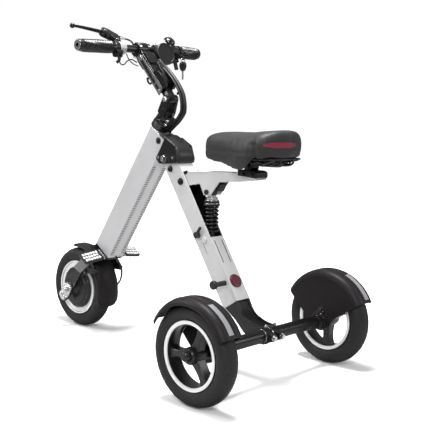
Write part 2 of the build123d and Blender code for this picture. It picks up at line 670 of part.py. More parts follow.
def brake_perch():
    """Clamp on the left of the bar that carries the brake lever."""
    perch = ring_y(17, BAR_R, PERCH_Y - 10, PERCH_Y + 10)
    perch += block(14, LEVER_REACH - 11, PERCH_Y - 8, PERCH_Y + 11, -9, 9)
    for z0 in (-9, 5):
        perch += block(LEVER_REACH - 16, LEVER_REACH + 8, PERCH_Y, LEVER_Y + 10, z0, z0 + 4)
    perch -= rod_z(LEVER_PIN_R, -20, 20, LEVER_REACH, LEVER_Y)
    return at_bar(perch, PERCH_ANGLE)


def brake_lever():
    """Brake lever with a ball end and its pivot pin."""
    root = Pos(LEVER_REACH, LEVER_Y) * Circle(7)
    tip = Pos(LEVER_REACH + 18, 204) * Circle(4.5)
    lever = rod_z(8, -4.8, 4.8, LEVER_REACH, LEVER_Y)
    lever += rod_z(LEVER_PIN_R - RUN, -9, 9, LEVER_REACH, LEVER_Y)
    lever += Pos(0, 0, -3.5) * extrude(make_hull([*root.edges(), *tip.edges()]), 7)
    return at_bar(lever + Pos(LEVER_REACH + 18, 208, 0) * Sphere(8), PERCH_ANGLE)


def throttle_housing():
    """Thumb throttle body on the right of the bar, with the eye for the key ring."""
    y0 = THROTTLE_Y - 11
    y1 = THROTTLE_Y + 11
    body = ring_y(18, BAR_R, y0, y1) + block(12, 34, y0 + 2, y1 - 2, -9, 9)
    body -= block(20, 40, THROTTLE_Y - 5, THROTTLE_Y + 5, -12, 12)
    body -= rod_y(4, y0, y1, THROTTLE_REACH, 0)
    body = at_bar(body, THROTTLE_ANGLE)
    eye_x, eye_z = KEY_EYE
    eye_end = Pos(eye_x, eye_z) * Circle(6)
    bar_end = Pos(BAR_X - 14, BAR_Z - 6) * Circle(6)
    eye = make_hull([*eye_end.edges(), *bar_end.edges()])
    lug = side_plate(eye, THROTTLE_Y + 1, THROTTLE_Y + 4) - rod_y(BAR_R, y0, y1, BAR_X, BAR_Z)
    return body + lug - rod_y(3, y0, y1, eye_x, eye_z)


def throttle_lever():
    """Thumb lever between the cheeks of the throttle body."""
    y0 = THROTTLE_Y - 4.8
    y1 = THROTTLE_Y + 4.8
    lever = rod_y(7, y0, y1, THROTTLE_REACH, 0)
    lever += rod_y(4 - RUN, THROTTLE_Y - 9, THROTTLE_Y + 9, THROTTLE_REACH, 0)
    return at_bar(lever + block(27, 56, y0, y1, -4, 3), THROTTLE_ANGLE)


def display():
    """Round display pod on a bar clamp, facing the rider."""
    pod = fillet(Cylinder(32, 26).edges(), 6)
    pod = Pos(BAR_X - 26, DISPLAY_Y, BAR_Z - 13) * Rot(0, DISPLAY_TILT, 0) * pod
    clamp = ring_y(15, BAR_R, DISPLAY_Y - 8, DISPLAY_Y + 8, BAR_X, BAR_Z)
    return pod + clamp - rod_y(BAR_R, DISPLAY_Y - 40, DISPLAY_Y + 40, BAR_X, BAR_Z)


def bell():
    """Bell on top of the bar: clamp, post and dome."""
    clamp = ring_y(14, BAR_R, BELL_Y - 4.5, BELL_Y + 4.5)
    clamp += block(12, BELL_BASE, BELL_Y - 4, BELL_Y + 4, -4, 4)
    dome = Cone(17, 11, 13, align=(Align.CENTER, Align.CENTER, Align.MIN))
    return at_bar(clamp + Pos(BELL_BASE, BELL_Y, 0) * Rot(0, 90, 0) * dome, BELL_ANGLE)


def bag_hook():
    """Hook on the front of the stem."""
    corners = (((15, 88), 3.5), ((28, 88), 3.5), ((36, 80), 3), ((33, 106), 2.5))
    circles = [Pos(*centre) * Circle(radius) for centre, radius in corners]
    hook = block(13, 16, -6, 6, 78, 98)
    for near, far in zip(circles, circles[1:]):
        hook += side_plate(make_hull([*near.edges(), *far.edges()]), -3.5, 3.5)
    return STEM * (hook - block(0, 13, -20, 20, 60, 120))


def key():
    """Spare key with a round head, hanging on a split ring from the throttle's eye."""
    x, z = KEY_EYE
    y = THROTTLE_Y + 2.5
    ring = Pos(x, y, z - KEY_RING_R) * Rot(0, 90, 0) * Torus(KEY_RING_R, 1.2)
    head_z = z - 2 * KEY_RING_R - 7
    head = rod_y(11, y - 2.5, y + 2.5, x, head_z) - rod_y(2.5, y - 5, y + 5, x, head_z + 7)
    blade = block(x - 3, x + 3, y - 1.2, y + 1.2, head_z - 40, head_z - 9)
    return [ring, head + blade]


# ---- Seat arm ------------------------------------------------------------------------------------
ARM_HALF = 21.0
ARM_TOP = 543.0
ARM_END = 38.0
SADDLE_X = 72.0             # the saddle's tilt bolt
SADDLE_Z = ARM_TOP + 17
RAIL_Z = SADDLE_Z + 13
RAIL_Y = 22.0


def arm_outline():
    """Side outline of the seat arm and its gusset."""
    return outline((SEAT_X + 10, SEAT_Z - 8), (SEAT_X + 10, SEAT_Z + 12), (SEAT_X - 8, 534), (100, ARM_TOP),
                   (ARM_END, ARM_TOP + 1), (ARM_END, 528), (84, 521), (168, 513), (SHOCK_X - 12, 474),
                   (SHOCK_X + 12, 474), (240, 504), (SEAT_X - 14, SEAT_Z - 12))


def seat_arm():
    """Folded arm, open below, that rocks on the beam and carries the saddle."""
    arm = side_plate(arm_outline(), -ARM_HALF, ARM_HALF)
    arm -= side_plate(Pos(0, -WALL) * arm_outline(), -ARM_HALF + WALL, ARM_HALF - WALL)
    for x, z in ((SEAT_X, SEAT_Z), (SHOCK_X, SHOCK_TOP_Z)):
        for y0 in (-ARM_HALF, ARM_HALF - 7):
            arm += rod_y(10, y0, y0 + 7, x, z)
    arm -= rod_y(5 + RUN, -30, 30, SEAT_X, SEAT_Z)
    return arm - rod_y(4, -30, 30, SHOCK_X, SHOCK_TOP_Z)


def rubber_bumper():
    """Rubber wedge under the arm that meets the beam at full droop."""
    wedge = outline((170, 505), (188, 512), (190, 488), (180, 486), radius=2)
    return side_plate(wedge, -12, 12)


def saddle_clamp():
    """Cradle bolted on the end of the arm, with two ears for the tilt bolt."""
    cradle = block(SADDLE_X - 26, SADDLE_X + 30, -20, 20, ARM_TOP + 2, ARM_TOP + 8)
    for y0 in (13, -18):
        cradle += block(SADDLE_X - 9, SADDLE_X + 9, y0, y0 + 5, ARM_TOP + 6, SADDLE_Z)
        cradle += rod_y(9, y0, y0 + 5, SADDLE_X, SADDLE_Z)
    cradle -= rod_y(4, -30, 30, SADDLE_X, SADDLE_Z)
    return cradle


def arm_bolts():
    """Upper shock bolt and the saddle's tilt bolt."""
    shock_bolt = through_bolt(4, ARM_HALF, 7, SHOCK_X, SHOCK_TOP_Z, 4)
    return [shock_bolt, through_bolt(4, 18, 7, SADDLE_X, SADDLE_Z, 4)]


# ---- Shock absorber ------------------------------------------------------------------------------
SPRING_R = 16.5
WIRE_R = 3.2
SPRING_LOW = SHOCK_FOOT_Z + 27
SPRING_HIGH = SHOCK_TOP_Z - 34


def shock_body():
    """Upper half: eye, damper tube and the knurled spring collar."""
    body = rod_y(10, -9, 9, SHOCK_X, SHOCK_TOP_Z)
    body += rod_z(8, SHOCK_FOOT_Z + 62, SHOCK_TOP_Z - 6, SHOCK_X)
    body += rod_z(20, SPRING_HIGH, SPRING_HIGH + 10, SHOCK_X)
    body -= rod_z(5.2, SHOCK_FOOT_Z + 40, SHOCK_TOP_Z - 14, SHOCK_X)
    return body - rod_y(4 + RUN, -20, 20, SHOCK_X, SHOCK_TOP_Z)


def shock_shaft():
    """Lower half: eye, spring seat and the rod that slides in the damper tube."""
    shaft = rod_y(11, -9, 9, SHOCK_X, SHOCK_FOOT_Z)
    shaft += rod_z(17, SPRING_LOW - 5, SPRING_LOW, SHOCK_X)
    shaft += rod_z(8, SHOCK_FOOT_Z, SPRING_LOW - 4, SHOCK_X)
    shaft += rod_z(5, SHOCK_FOOT_Z, SHOCK_FOOT_Z + 92, SHOCK_X)
    return shaft - rod_y(5 + EYE_PLAY, -20, 20, SHOCK_X, SHOCK_FOOT_Z)


def shock_spring():
    """Coil spring round the damper, between the two seats."""
    height = SPRING_HIGH - SPRING_LOW - 2 * WIRE_R - 0.4
    path = Helix(pitch=height / 6, height=height, radius=SPRING_R)
    coil = sweep(Plane(origin=path @ 0, z_dir=path % 0) * Circle(WIRE_R), path=path)
    return Pos(SHOCK_X, 0, SPRING_LOW + WIRE_R + 0.2) * coil


# ---- Saddle --------------------------------------------------------------------------------------
SADDLE_REAR = -60.0
SADDLE_NOSE = 236.0
SADDLE_LOW = 588.0
SADDLE_HIGH = 652.0
SADDLE_HALF = 98.0
SKIRT_LOW = 557.0           # lowest edge of the skirts, beside the tilt bolt


def saddle_plan(inset):
    """Plan outline: broad rounded rear that narrows through a waist to the nose."""
    side = [(SADDLE_NOSE - 22 - inset, 32 - 0.8 * inset), (130, 44 - inset), (60, 74 - inset),
            (10, SADDLE_HALF - inset), (SADDLE_REAR + 22, 82 - inset)]
    far_side = [(x, -y) for x, y in reversed(side)]
    nose = (SADDLE_NOSE - inset, 0)
    rear = (SADDLE_REAR + inset, 0)
    return make_face(Spline(nose, *side, rear, *far_side, periodic=True))


def saddle_cushion():
    """Foam and cover as one crowned closed solid, with skirts that hang down past the base."""
    levels = ((SADDLE_LOW, 4), (SADDLE_LOW + 20, 0), (SADDLE_HIGH - 18, 1), (SADDLE_HIGH - 5, 8),
              (SADDLE_HIGH, 20))
    cushion = loft([Pos(0, 0, z) * saddle_plan(inset) for z, inset in levels], ruled=True)
    above_nose = outline((130, SADDLE_HIGH), (193, 641), (228, 625), (260, 604), (260, 700), (130, 700))
    cushion -= side_plate(above_nose, -SADDLE_HALF, SADDLE_HALF)
    skirt = extrude(saddle_plan(3) - saddle_plan(8.5), SADDLE_LOW + 6 - SKIRT_LOW)
    edge = Spline((-90, 592), (SADDLE_REAR, 585), (-30, 567), (14, SKIRT_LOW), (46, SKIRT_LOW), (90, 564),
                  (150, 575), (SADDLE_NOSE, 581), (270, 584))
    below = make_face([edge, Polyline((270, 584), (270, 500), (-90, 500), (-90, 592))])
    skirt = Pos(0, 0, SKIRT_LOW) * skirt - side_plate(below, -2 * SADDLE_HALF, 2 * SADDLE_HALF)
    return cushion + skirt


def saddle_pan():
    """Stiff plastic base of the saddle."""
    return Pos(0, 0, SADDLE_LOW - 5) * extrude(saddle_plan(10), 5)


def saddle_rails():
    """Two steel rails and the clamp block that tilts on the cradle's bolt."""
    block_half = 12.5
    carriage = rod_y(9, -block_half, block_half, SADDLE_X, SADDLE_Z)
    carriage += block(SADDLE_X - 16, SADDLE_X + 16, -block_half, block_half, SADDLE_Z + 2, RAIL_Z + 4)
    carriage += block(SADDLE_X - 16, SADDLE_X + 16, -RAIL_Y - 5, RAIL_Y + 5, RAIL_Z - 3, RAIL_Z + 4)
    for side in (1, -1):
        carriage += rod_x(3.5, -20, 150, side * RAIL_Y, RAIL_Z)
        for x in (-20, 150):
            carriage += rod_z(3.5, RAIL_Z, SADDLE_LOW - 5, x, side * RAIL_Y)
    carriage -= block(-200, 300, -100, 100, SADDLE_LOW - 5, SADDLE_LOW + 40)
    return carriage - rod_y(4 + RUN, -30, 30, SADDLE_X, SADDLE_Z)


# ---- Write every sub-part ------------------------------------------------------------------------
save("column", column())
save("end_cap", end_cap())
save("battery_pack", battery_pack())
save("head_bearings", *head_bearings())
save("headset_collar", headset_collar())
save("hinge_bracket", hinge_bracket())
save("hinge_cover", hinge_cover())
save("column_bolts", *column_bolts())
save("left_footrest", footrest(1))
save("right_footrest", footrest(-1))
save("footrest_pins", *footrest_pins())
save("rear_beam", rear_beam())
save("shock_guide", shock_guide())
save("beam_bolts", *beam_bolts())
save("rear_reflector", rear_reflector())
save("side_peg", side_peg())
save("quick_release", quick_release())
save("yoke", yoke())
save("axle_tube", axle_tube())
save("axle_bolts", *axle_bolts())
save("rear_axle", *rear_axle())
save("left_fender", fender(1))
save("right_fender", fender(-1))
save("fender_strips", *fender_strips())
save("front_wheel", front_wheel())
save("front_tyre", tyre(WHEELBASE, 0))
for prefix, wheel_y, first_spoke in (("left", TRACK / 2, LEFT_SPOKE),
                                     ("right", -TRACK / 2, RIGHT_SPOKE)):
    save(f"{prefix}_wheel", rear_wheel(wheel_y, first_spoke))
    save(f"{prefix}_tyre", tyre(0, wheel_y))
    save(f"{prefix}_wheel_bearings", *wheel_bearings(wheel_y))
save("fork", fork())
save("front_axle", *front_axle_set())
save("front_fender", front_fender())
save("front_mudguard", front_mudguard())
save("lower_stem", lower_stem())
save("stem_pin", stem_pin())
save("upper_stem", upper_stem())
save("stem_latch", stem_latch())
save("handlebar", handlebar())
save("grips", *grips())
save("brake_perch", brake_perch())
save("brake_lever", brake_lever())
save("throttle_housing", throttle_housing())
save("throttle_lever", throttle_lever())
save("display", display())
save("bell", bell())
save("bag_hook", bag_hook())
save("key", *key())
save("seat_arm", seat_arm())
save("rubber_bumper", rubber_bumper())
save("saddle_clamp", saddle_clamp())
save("arm_bolts", *arm_bolts())
save("shock_body", shock_body())
save("shock_shaft", shock_shaft())
save("shock_spring", shock_spring())
save("saddle_cushion", saddle_cushion())
save("saddle_pan", saddle_pan())
save("saddle_rails", saddle_rails())
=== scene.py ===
import json
from math import cos, exp, pi, radians, sin, tau

import bmesh
import bpy
from mathutils import Matrix, Vector


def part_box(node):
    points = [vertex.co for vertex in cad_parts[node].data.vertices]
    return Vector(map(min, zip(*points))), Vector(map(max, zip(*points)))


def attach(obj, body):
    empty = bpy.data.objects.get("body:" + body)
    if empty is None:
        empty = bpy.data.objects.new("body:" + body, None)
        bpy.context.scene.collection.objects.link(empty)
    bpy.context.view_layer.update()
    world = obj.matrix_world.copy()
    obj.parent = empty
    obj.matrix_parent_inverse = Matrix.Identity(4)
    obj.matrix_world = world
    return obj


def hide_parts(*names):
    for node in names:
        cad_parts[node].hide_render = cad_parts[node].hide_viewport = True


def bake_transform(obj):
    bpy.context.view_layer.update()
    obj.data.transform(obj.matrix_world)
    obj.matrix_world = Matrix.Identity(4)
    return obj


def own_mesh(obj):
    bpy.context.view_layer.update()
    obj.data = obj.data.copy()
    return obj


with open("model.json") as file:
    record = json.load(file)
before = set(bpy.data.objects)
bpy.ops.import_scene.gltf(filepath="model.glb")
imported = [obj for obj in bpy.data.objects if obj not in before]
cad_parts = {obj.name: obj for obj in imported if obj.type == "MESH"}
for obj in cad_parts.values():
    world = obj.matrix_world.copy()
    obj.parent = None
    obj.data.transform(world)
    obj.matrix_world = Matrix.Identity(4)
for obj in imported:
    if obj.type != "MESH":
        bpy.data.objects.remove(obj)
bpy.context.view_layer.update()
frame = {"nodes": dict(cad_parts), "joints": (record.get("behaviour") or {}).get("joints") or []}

# Looks of the folding three-wheeled scooter.  Shapes are drawn in millimetres in the frame of the
# part they sit on (row, column, beam or stem) and stored in metres.

MM = 0.001
JOINTS = {joint["name"]: joint for joint in frame["joints"]}


# ---- Frames and sizes, partly taken from the imported model -----------------------------------------
def joint_at(name):
    """Where a joint's axis sits, in metres."""
    return Vector(JOINTS[name]["pos_m"])


def leaning(origin, up):
    """Frame in millimetres whose Z leans along up and whose Y stays the rider's left."""
    z = Vector(up).normalized()
    y = Vector((0, 1, 0))
    turn = Matrix((y.cross(z), y, z)).transposed().to_4x4()
    return Matrix.Translation(origin) @ turn @ Matrix.Scale(MM, 4)


def slope(degrees):
    """Unit vector that leans forwards and up by degrees from horizontal."""
    return Vector((cos(radians(degrees)), 0, sin(radians(degrees))))


def box_mm(node):
    """Lowest and highest corner of a CAD node, in millimetres."""
    low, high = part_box(node)
    return low / MM, high / MM


BEAM_LEAN = 56.7
STEM_LEAN = 48.0
ROW = Matrix.Scale(MM, 4)
COLUMN = leaning(joint_at("steer"), JOINTS["steer"]["axis"])
BEAM = leaning(joint_at("frame_fold"), slope(BEAM_LEAN))
STEM = leaning(joint_at("stem_fold"), slope(STEM_LEAN))
HUBS = {side: joint_at(f"{side}_wheel_spin") / MM for side in ("left", "right", "front")}
TYRE_LOW, TYRE_HIGH = box_mm("left_tyre")
TYRE_R = (TYRE_HIGH.z - TYRE_LOW.z) / 2
TYRE_HALF = (TYRE_HIGH.y - TYRE_LOW.y) / 2
RIM_R = 84.0
FENDER_R = box_mm("left_fender")[1].z - HUBS["left"].z
FENDER_DROP = 16.0
FENDER_SHOULDER = 22.0
BAR_LOW, BAR_HIGH = box_mm("handlebar")
BAR = Vector(((BAR_LOW.x + BAR_HIGH.x) / 2, 0, (BAR_LOW.z + BAR_HIGH.z) / 2))
BAR_R = (BAR_HIGH.z - BAR_LOW.z) / 2
BAR_END = box_mm("grips")[1].y
SEAT_LOW, SEAT_HIGH = box_mm("saddle_cushion")
SEAT_BASE = box_mm("saddle_pan")[1].z
SKIRT_THICKNESS = 9.0
COVER_VOXEL = 4.2           # size of the cells of the saddle cover's mesh
COVER_START = 3.0           # how much smaller the cover starts before it is blown up
COVER_MOVE = 9.0            # farthest that the cloth may move a point
CLOTH_FRAMES = 20
SHOCK_TOP = joint_at("shock_swing") / MM
COLUMN_REAR = -64           # rear face of the column, behind the steering axis
COLUMN_HALF = 28
BEAM_REAR = -38             # rear face of the beam, behind the line through the fold pivot
BEAM_FOOT = -454            # lower end of the beam along its own line
ARM_SIDE = 21.2             # side face of the seat arm
CHEEK_SIDE = 30             # inner face of the hinge's cheek plates
FOOT_DROOP = 9              # degrees that the footrests hang below level
DAMPER_R = 8.2              # bore of the rings round the damper tube
SPRING_WIRE = 3.2
SPRING_TURNS = 6


def inverse_point(place, row_point):
    """A row point in millimetres, given in the millimetres of a leaning frame."""
    return place.inverted() @ (Vector(row_point) * MM)


def surface(name, color, rough=0.5, metal=0.0, grain=900.0, bump=0.15, mottle=0.06, vary=0.1,
            edge=0.8, coat=0.0, edge_lightening=0.0, weave=0.0, shine=0.5):
    """Procedural finish: colour drift, uneven roughness, fine grain and softened edges (edge in mm)."""
    mat = bpy.data.materials.new(name)
    mat.use_nodes = True
    tree = mat.node_tree
    link = tree.links.new
    shader = tree.nodes["Principled BSDF"]
    coords = tree.nodes.new("ShaderNodeTexCoord").outputs["Object"]
    drift = noise_node(tree, coords, 28, 5)
    ramp = tree.nodes.new("ShaderNodeValToRGB")
    for element, place, level in zip(ramp.color_ramp.elements, (0.35, 0.65), (1 - mottle, 1 + mottle)):
        element.position = place
        element.color = (*[min(1.0, c * level) for c in color], 1)
    link(drift, ramp.inputs["Fac"])
    shade = ramp.outputs["Color"]
    # Sharply curved edges get a lighter colour mixed into the base colour.
    if edge_lightening:
        shade = lighter_edges(tree, shade, color, edge_lightening)
    link(shade, shader.inputs["Base Color"])
    fine = noise_node(tree, coords, grain, 3)
    level = tree.nodes.new("ShaderNodeMapRange")
    level.inputs["To Min"].default_value = max(0.02, rough - vary)
    level.inputs["To Max"].default_value = min(1.0, rough + vary)
    link(fine, level.inputs["Value"])
    link(level.outputs["Result"], shader.inputs["Roughness"])
    height = cells(tree, coords, weave) if weave else fine
    soften = tree.nodes.new("ShaderNodeBevel")
    soften.samples = 4
    soften.inputs["Radius"].default_value = edge * MM
    relief = tree.nodes.new("ShaderNodeBump")
    relief.inputs["Strength"].default_value = bump
    relief.inputs["Distance"].default_value = 0.4 * MM
    link(height, relief.inputs["Height"])
    link(soften.outputs["Normal"], relief.inputs["Normal"])
    link(relief.outputs["Normal"], shader.inputs["Normal"])
    shader.inputs["Metallic"].default_value = metal
    shader.inputs["Specular IOR Level"].default_value = shine
    shader.inputs["Coat Weight"].default_value = coat
    shader.inputs["Coat Roughness"].default_value = 0.1
    return mat


def noise_node(tree, coords, scale, detail):
    """Value of a noise texture; scale is in features per metre."""
    node = tree.nodes.new("ShaderNodeTexNoise")
    node.inputs["Scale"].default_value = scale
    node.inputs["Detail"].default_value = detail
    tree.links.new(coords, node.inputs["Vector"])
    return node.outputs["Fac"]


def cells(tree, coords, scale):
    """Pebbled leather grain."""
    node = tree.nodes.new("ShaderNodeTexVoronoi")
    node.inputs["Scale"].default_value = scale
    tree.links.new(coords, node.inputs["Vector"])
    return node.outputs["Distance"]


def lighter_edges(tree, shade, color, amount):
    """Lighter colour on the sharply curved places."""
    geometry = tree.nodes.new("ShaderNodeNewGeometry")
    pick = tree.nodes.new("ShaderNodeMapRange")
    pick.inputs["From Min"].default_value = 0.52
    pick.inputs["From Max"].default_value = 0.62
    pick.inputs["To Max"].default_value = amount
    tree.links.new(geometry.outputs["Pointiness"], pick.inputs["Value"])
    mix = tree.nodes.new("ShaderNodeMix")
    mix.data_type = "RGBA"
    mix.inputs["B"].default_value = (*[min(1.0, c * 2.2 + 0.12) for c in color], 1)
    tree.links.new(pick.outputs["Result"], mix.inputs["Factor"])
    tree.links.new(shade, mix.inputs["A"])
    return mix.outputs["Result"]


SILVER = surface("silver_paint", (0.60, 0.60, 0.605), 0.44, 0.2, 1400, 0.05, 0.02, 0.06,
                 1.2)
COLUMN_SILVER = surface("column_silver", (0.60, 0.60, 0.61), 0.42, 0.3, 1500, 0.05, 0.02,
                        0.06, 2)
# Dark grey of the column's slot bars: painted shade of recessed slots.
SLOT_SHADE = surface("painted_slot_shade", (0.08, 0.08, 0.085), 0.5, 0.3, 1500, 0.1, 0.05, 0.06, 0.3)
BLACK_PAINT = surface("black_paint", (0.0040, 0.0035, 0.0040), 0.27, 0.0, 900, 0.2, 0.2,
                      0.08, 1.2, edge_lightening=0.05, shine=0.4)
BLACK_CAST = surface("black_cast", (0.0045, 0.0040, 0.0045), 0.34, 0.0, 420, 0.7, 0.25, 0.12,
                     1.5, edge_lightening=0.05, shine=0.35)
PLATE_GREY = surface("plate_grey", (0.20, 0.20, 0.20), 0.36, 0.5, 900, 0.2, 0.15, 0.1, 0.6)
COLLAR_GREY = surface("collar_grey", (0.42, 0.42, 0.43), 0.4, 0.3, 1200, 0.12, 0.08, 0.1, 0.6)
PLASTIC = surface("black_plastic", (0.007, 0.006, 0.007), 0.42, 0.0, 1600, 0.3, 0.12, 0.1,
                  1.2, shine=0.4)
COVER = surface("cover_plastic", (0.013, 0.013, 0.013), 0.38, 0.0, 1500, 0.14, 0.08, 0.08,
                2.5, shine=0.3)
GLASS = surface("display_glass", (0.004, 0.004, 0.005), 0.08, 0.0, 600, 0.02, 0.1, 0.03,
                0.5, 1.0)
FENDER = surface("fender_plastic", (0.015, 0.013, 0.0145), 0.45, 0.0, 1500, 0.16, 0.08,
                 0.08, 1.5, shine=0.12)
TYRE = surface("tyre_rubber", (0.013, 0.0125, 0.013), 0.62, 0.0, 700, 0.3, 0.15, 0.12, 0.6,
               shine=0.35)
RUBBER = surface("soft_rubber", (0.006, 0.0055, 0.006), 0.52, 0.0, 1100, 0.35, 0.12, 0.1)
GRIP_RUBBER = surface("grip_rubber", (0.004, 0.0037, 0.004), 0.33, 0.0, 1100, 0.3, 0.12, 0.1)
STEEL = surface("zinc_steel", (0.62, 0.62, 0.63), 0.24, 1.0, 1200, 0.12, 0.08, 0.1, 0.5)
DARK_STEEL = surface("dark_steel", (0.05, 0.05, 0.054), 0.30, 0.8, 1200, 0.2, 0.12, 0.1, 0.5)
BRIGHT = surface("machined_alloy", (0.86, 0.86, 0.87), 0.34, 0.35, 1500, 0.08, 0.03, 0.08,
                 0.5)
WHEEL_BLACK = surface("wheel_black", (0.009, 0.0085, 0.009), 0.32, 0.1, 900, 0.2, 0.12, 0.08,
                      1.5)
MOTOR = surface("motor_black", (0.012, 0.011, 0.012), 0.38, 0.2, 700, 0.3, 0.12, 0.1, 1.5)
GREY_STRIP = surface("grey_strip", (0.20, 0.20, 0.21), 0.45, 0.0, 1800, 0.15, 0.05, 0.08)
VINYL = surface("saddle_vinyl", (0.026, 0.025, 0.026), 0.5, 0.0, 950, 0.35, 0.10, 0.08,
                weave=1400, shine=0.3)
RED_VINYL = surface("saddle_red", (0.20, 0.010, 0.038), 0.5, 0.0, 950, 0.35, 0.10, 0.08,
                    weave=1400)
SPRING = surface("spring_black", (0.008, 0.008, 0.009), 0.25, 0.2, 900, 0.1, 0.1, 0.06, 0.8)
REFLECTOR = surface("reflector_red", (0.11, 0.008, 0.028), 0.2, 0.0, 600, 0.2, 0.15, 0.05,
                    0.8, 0.6)
BELL_BLACK = surface("bell_black", (0.012, 0.012, 0.013), 0.14, 0.6, 900, 0.05, 0.1, 0.05,
                     0.6, 1.0)
WRAP = surface("battery_wrap", (0.02, 0.04, 0.10), 0.4, 0.0, 600, 0.2, 0.1, 0.1)

NODE_FINISH = {
    COLUMN_SILVER: ("column",),
    SILVER: ("rear_beam", "seat_arm"),
    WRAP: ("battery_pack",),
    STEEL: ("head_bearings", "footrest_pins", "rear_axle", "left_wheel_bearings", "right_wheel_bearings",
            "front_axle", "stem_pin", "brake_perch", "key"),
    DARK_STEEL: ("headset_collar", "beam_bolts", "quick_release", "arm_bolts", "shock_body", "shock_shaft",
                 "saddle_rails", "stem_latch", "column_bolts", "axle_bolts"),
    BLACK_CAST: ("hinge_bracket", "yoke"),
    COVER: ("hinge_cover",),
    BLACK_PAINT: ("end_cap", "left_footrest", "right_footrest", "axle_tube", "fork", "lower_stem",
                  "upper_stem", "handlebar", "bag_hook", "brake_lever", "saddle_clamp"),
    PLASTIC: ("shock_guide", "throttle_housing", "throttle_lever", "display", "saddle_pan"),
    FENDER: ("left_fender", "right_fender", "front_fender", "front_mudguard"),
    GREY_STRIP: ("fender_strips",),
    WHEEL_BLACK: ("left_wheel", "right_wheel"),
    MOTOR: ("front_wheel",),
    TYRE: ("left_tyre", "right_tyre", "front_tyre"),
    RUBBER: ("grips", "rubber_bumper", "side_peg"),
    BELL_BLACK: ("bell",),
    REFLECTOR: ("rear_reflector",),
    VINYL: ("saddle_cushion",),
    SPRING: ("shock_spring",),
}
for finish, node_names in NODE_FINISH.items():
    for node_name in node_names:
        mesh = frame["nodes"][node_name].data
        mesh.materials.clear()
        mesh.materials.append(finish)


# ---- Shape building -------------------------------------------------------------------------------
class Shape:
    """A mesh under construction, in millimetres of one frame."""

    def __init__(self):
        self.bm = bmesh.new()

    def grid(self, rows, closed_rows=True, closed_columns=False, caps=True):
        """Skin a list of rings of points; caps close the two end rings."""
        rings = [[self.bm.verts.new(point) for point in row] for row in rows]
        count = len(rings[0])
        last = len(rings) if closed_columns else len(rings) - 1
        for i in range(last):
            near = rings[i]
            far = rings[(i + 1) % len(rings)]
            for j in range(count if closed_rows else count - 1):
                k = (j + 1) % count
                self.bm.faces.new((near[j], near[k], far[k], far[j]))
        if caps and not closed_columns:
            self.bm.faces.new(rings[0])
            self.bm.faces.new(rings[-1])
        return self

    def box(self, x0, x1, y0, y1, z0, z1):
        """A box between two corners."""
        low = [(x0, y0, z0), (x1, y0, z0), (x1, y1, z0), (x0, y1, z0)]
        return self.grid([low, [(x, y, z1) for x, y, _ in low]])

    def slab(self, outline, y0, y1):
        """An outline in the XZ plane, thickened along Y."""
        return self.grid([[(x, y0, z) for x, z in outline], [(x, y1, z) for x, z in outline]])

    def plate(self, corners, radius, y0, y1):
        """A slab whose corners are rounded."""
        return self.slab(round_corners(corners, radius), y0, y1)

    def lathe(self, profile, center=(0, 0, 0), steps=96, wave=None):
        """A closed profile of (radius, along Y) turned round a Y axis; wave() moves its points."""
        cx, cy, cz = center
        rings = []
        for step in range(steps):
            angle = tau * step / steps
            ring = []
            for radius, along in profile:
                r = radius + (wave(angle, radius, along) if wave else 0)
                ring.append((cx + r * cos(angle), cy + along, cz + r * sin(angle)))
            rings.append(ring)
        return self.grid(rings, closed_columns=True)

    def rod(self, start, end, radius, end_radius=None, sides=24):
        """A round rod or cone between two points."""
        start = Vector(start)
        end = Vector(end)
        across = (end - start).orthogonal().normalized()
        other = (end - start).normalized().cross(across)
        rows = []
        for point, r in ((start, radius), (end, radius if end_radius is None else end_radius)):
            rows.append([point + r * (cos(tau * k / sides) * across + sin(tau * k / sides) * other)
                         for k in range(sides)])
        return self.grid(rows)

    def tube(self, points, radius, closed=False, steps=8, sides=12, flat=1.0):
        """A round wire along a smooth path; flat below 1 squeezes it across its own bend."""
        path = smooth_path([Vector(point) for point in points], steps, closed)
        count = len(path)
        across = None
        rows = []
        for i, point in enumerate(path):
            ahead = path[(i + 1) % count] if closed or i + 1 < count else point
            behind = path[i - 1] if closed or i else point
            along = (ahead - behind).normalized()
            across = along.orthogonal().normalized() if across is None else across
            across = (across - across.dot(along) * along).normalized()
            other = along.cross(across)
            angles = [tau * k / sides for k in range(sides)]
            rows.append([point + radius * (cos(a) * across + flat * sin(a) * other) for a in angles])
        return self.grid(rows, closed_columns=closed)

    def ball(self, center, radius):
        """A small ball."""
        bmesh.ops.create_uvsphere(self.bm, u_segments=24, v_segments=14, radius=radius,
                                  matrix=Matrix.Translation(center))
        return self

    def hexagon(self, start, end, across):
        """A hexagon head or nut between two points."""
        return self.rod(start, end, across / 2 / cos(pi / 6), sides=6)

    def piece(self, name, body, finish, place=ROW, bevel=0.0, smooth=40, subdivide=0, stands_for=()):
        """Turn the shape into a named object that rides on a body; bevel is in millimetres."""
        bmesh.ops.remove_doubles(self.bm, verts=self.bm.verts, dist=1e-4)
        bmesh.ops.recalc_face_normals(self.bm, faces=self.bm.faces)
        mesh = bpy.data.meshes.new(name)
        self.bm.to_mesh(mesh)
        self.bm.free()
        mesh.transform(place)
        mesh.materials.append(finish)
        obj = bpy.data.objects.new(name, mesh)
        bpy.context.collection.objects.link(obj)
        if bevel:
            cut = obj.modifiers.new("soft_edges", "BEVEL")
            cut.width = bevel * MM
            cut.segments = 2
            cut.limit_method = "ANGLE"
        if subdivide:
            obj.modifiers.new("smooth", "SUBSURF").levels = subdivide
            obj.modifiers["smooth"].render_levels = subdivide
        mesh.shade_smooth()
        mesh.set_sharp_from_angle(angle=radians(smooth))
        for node_name in stands_for:
            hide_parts(node_name)
        if body:
            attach(obj, body)
        return obj


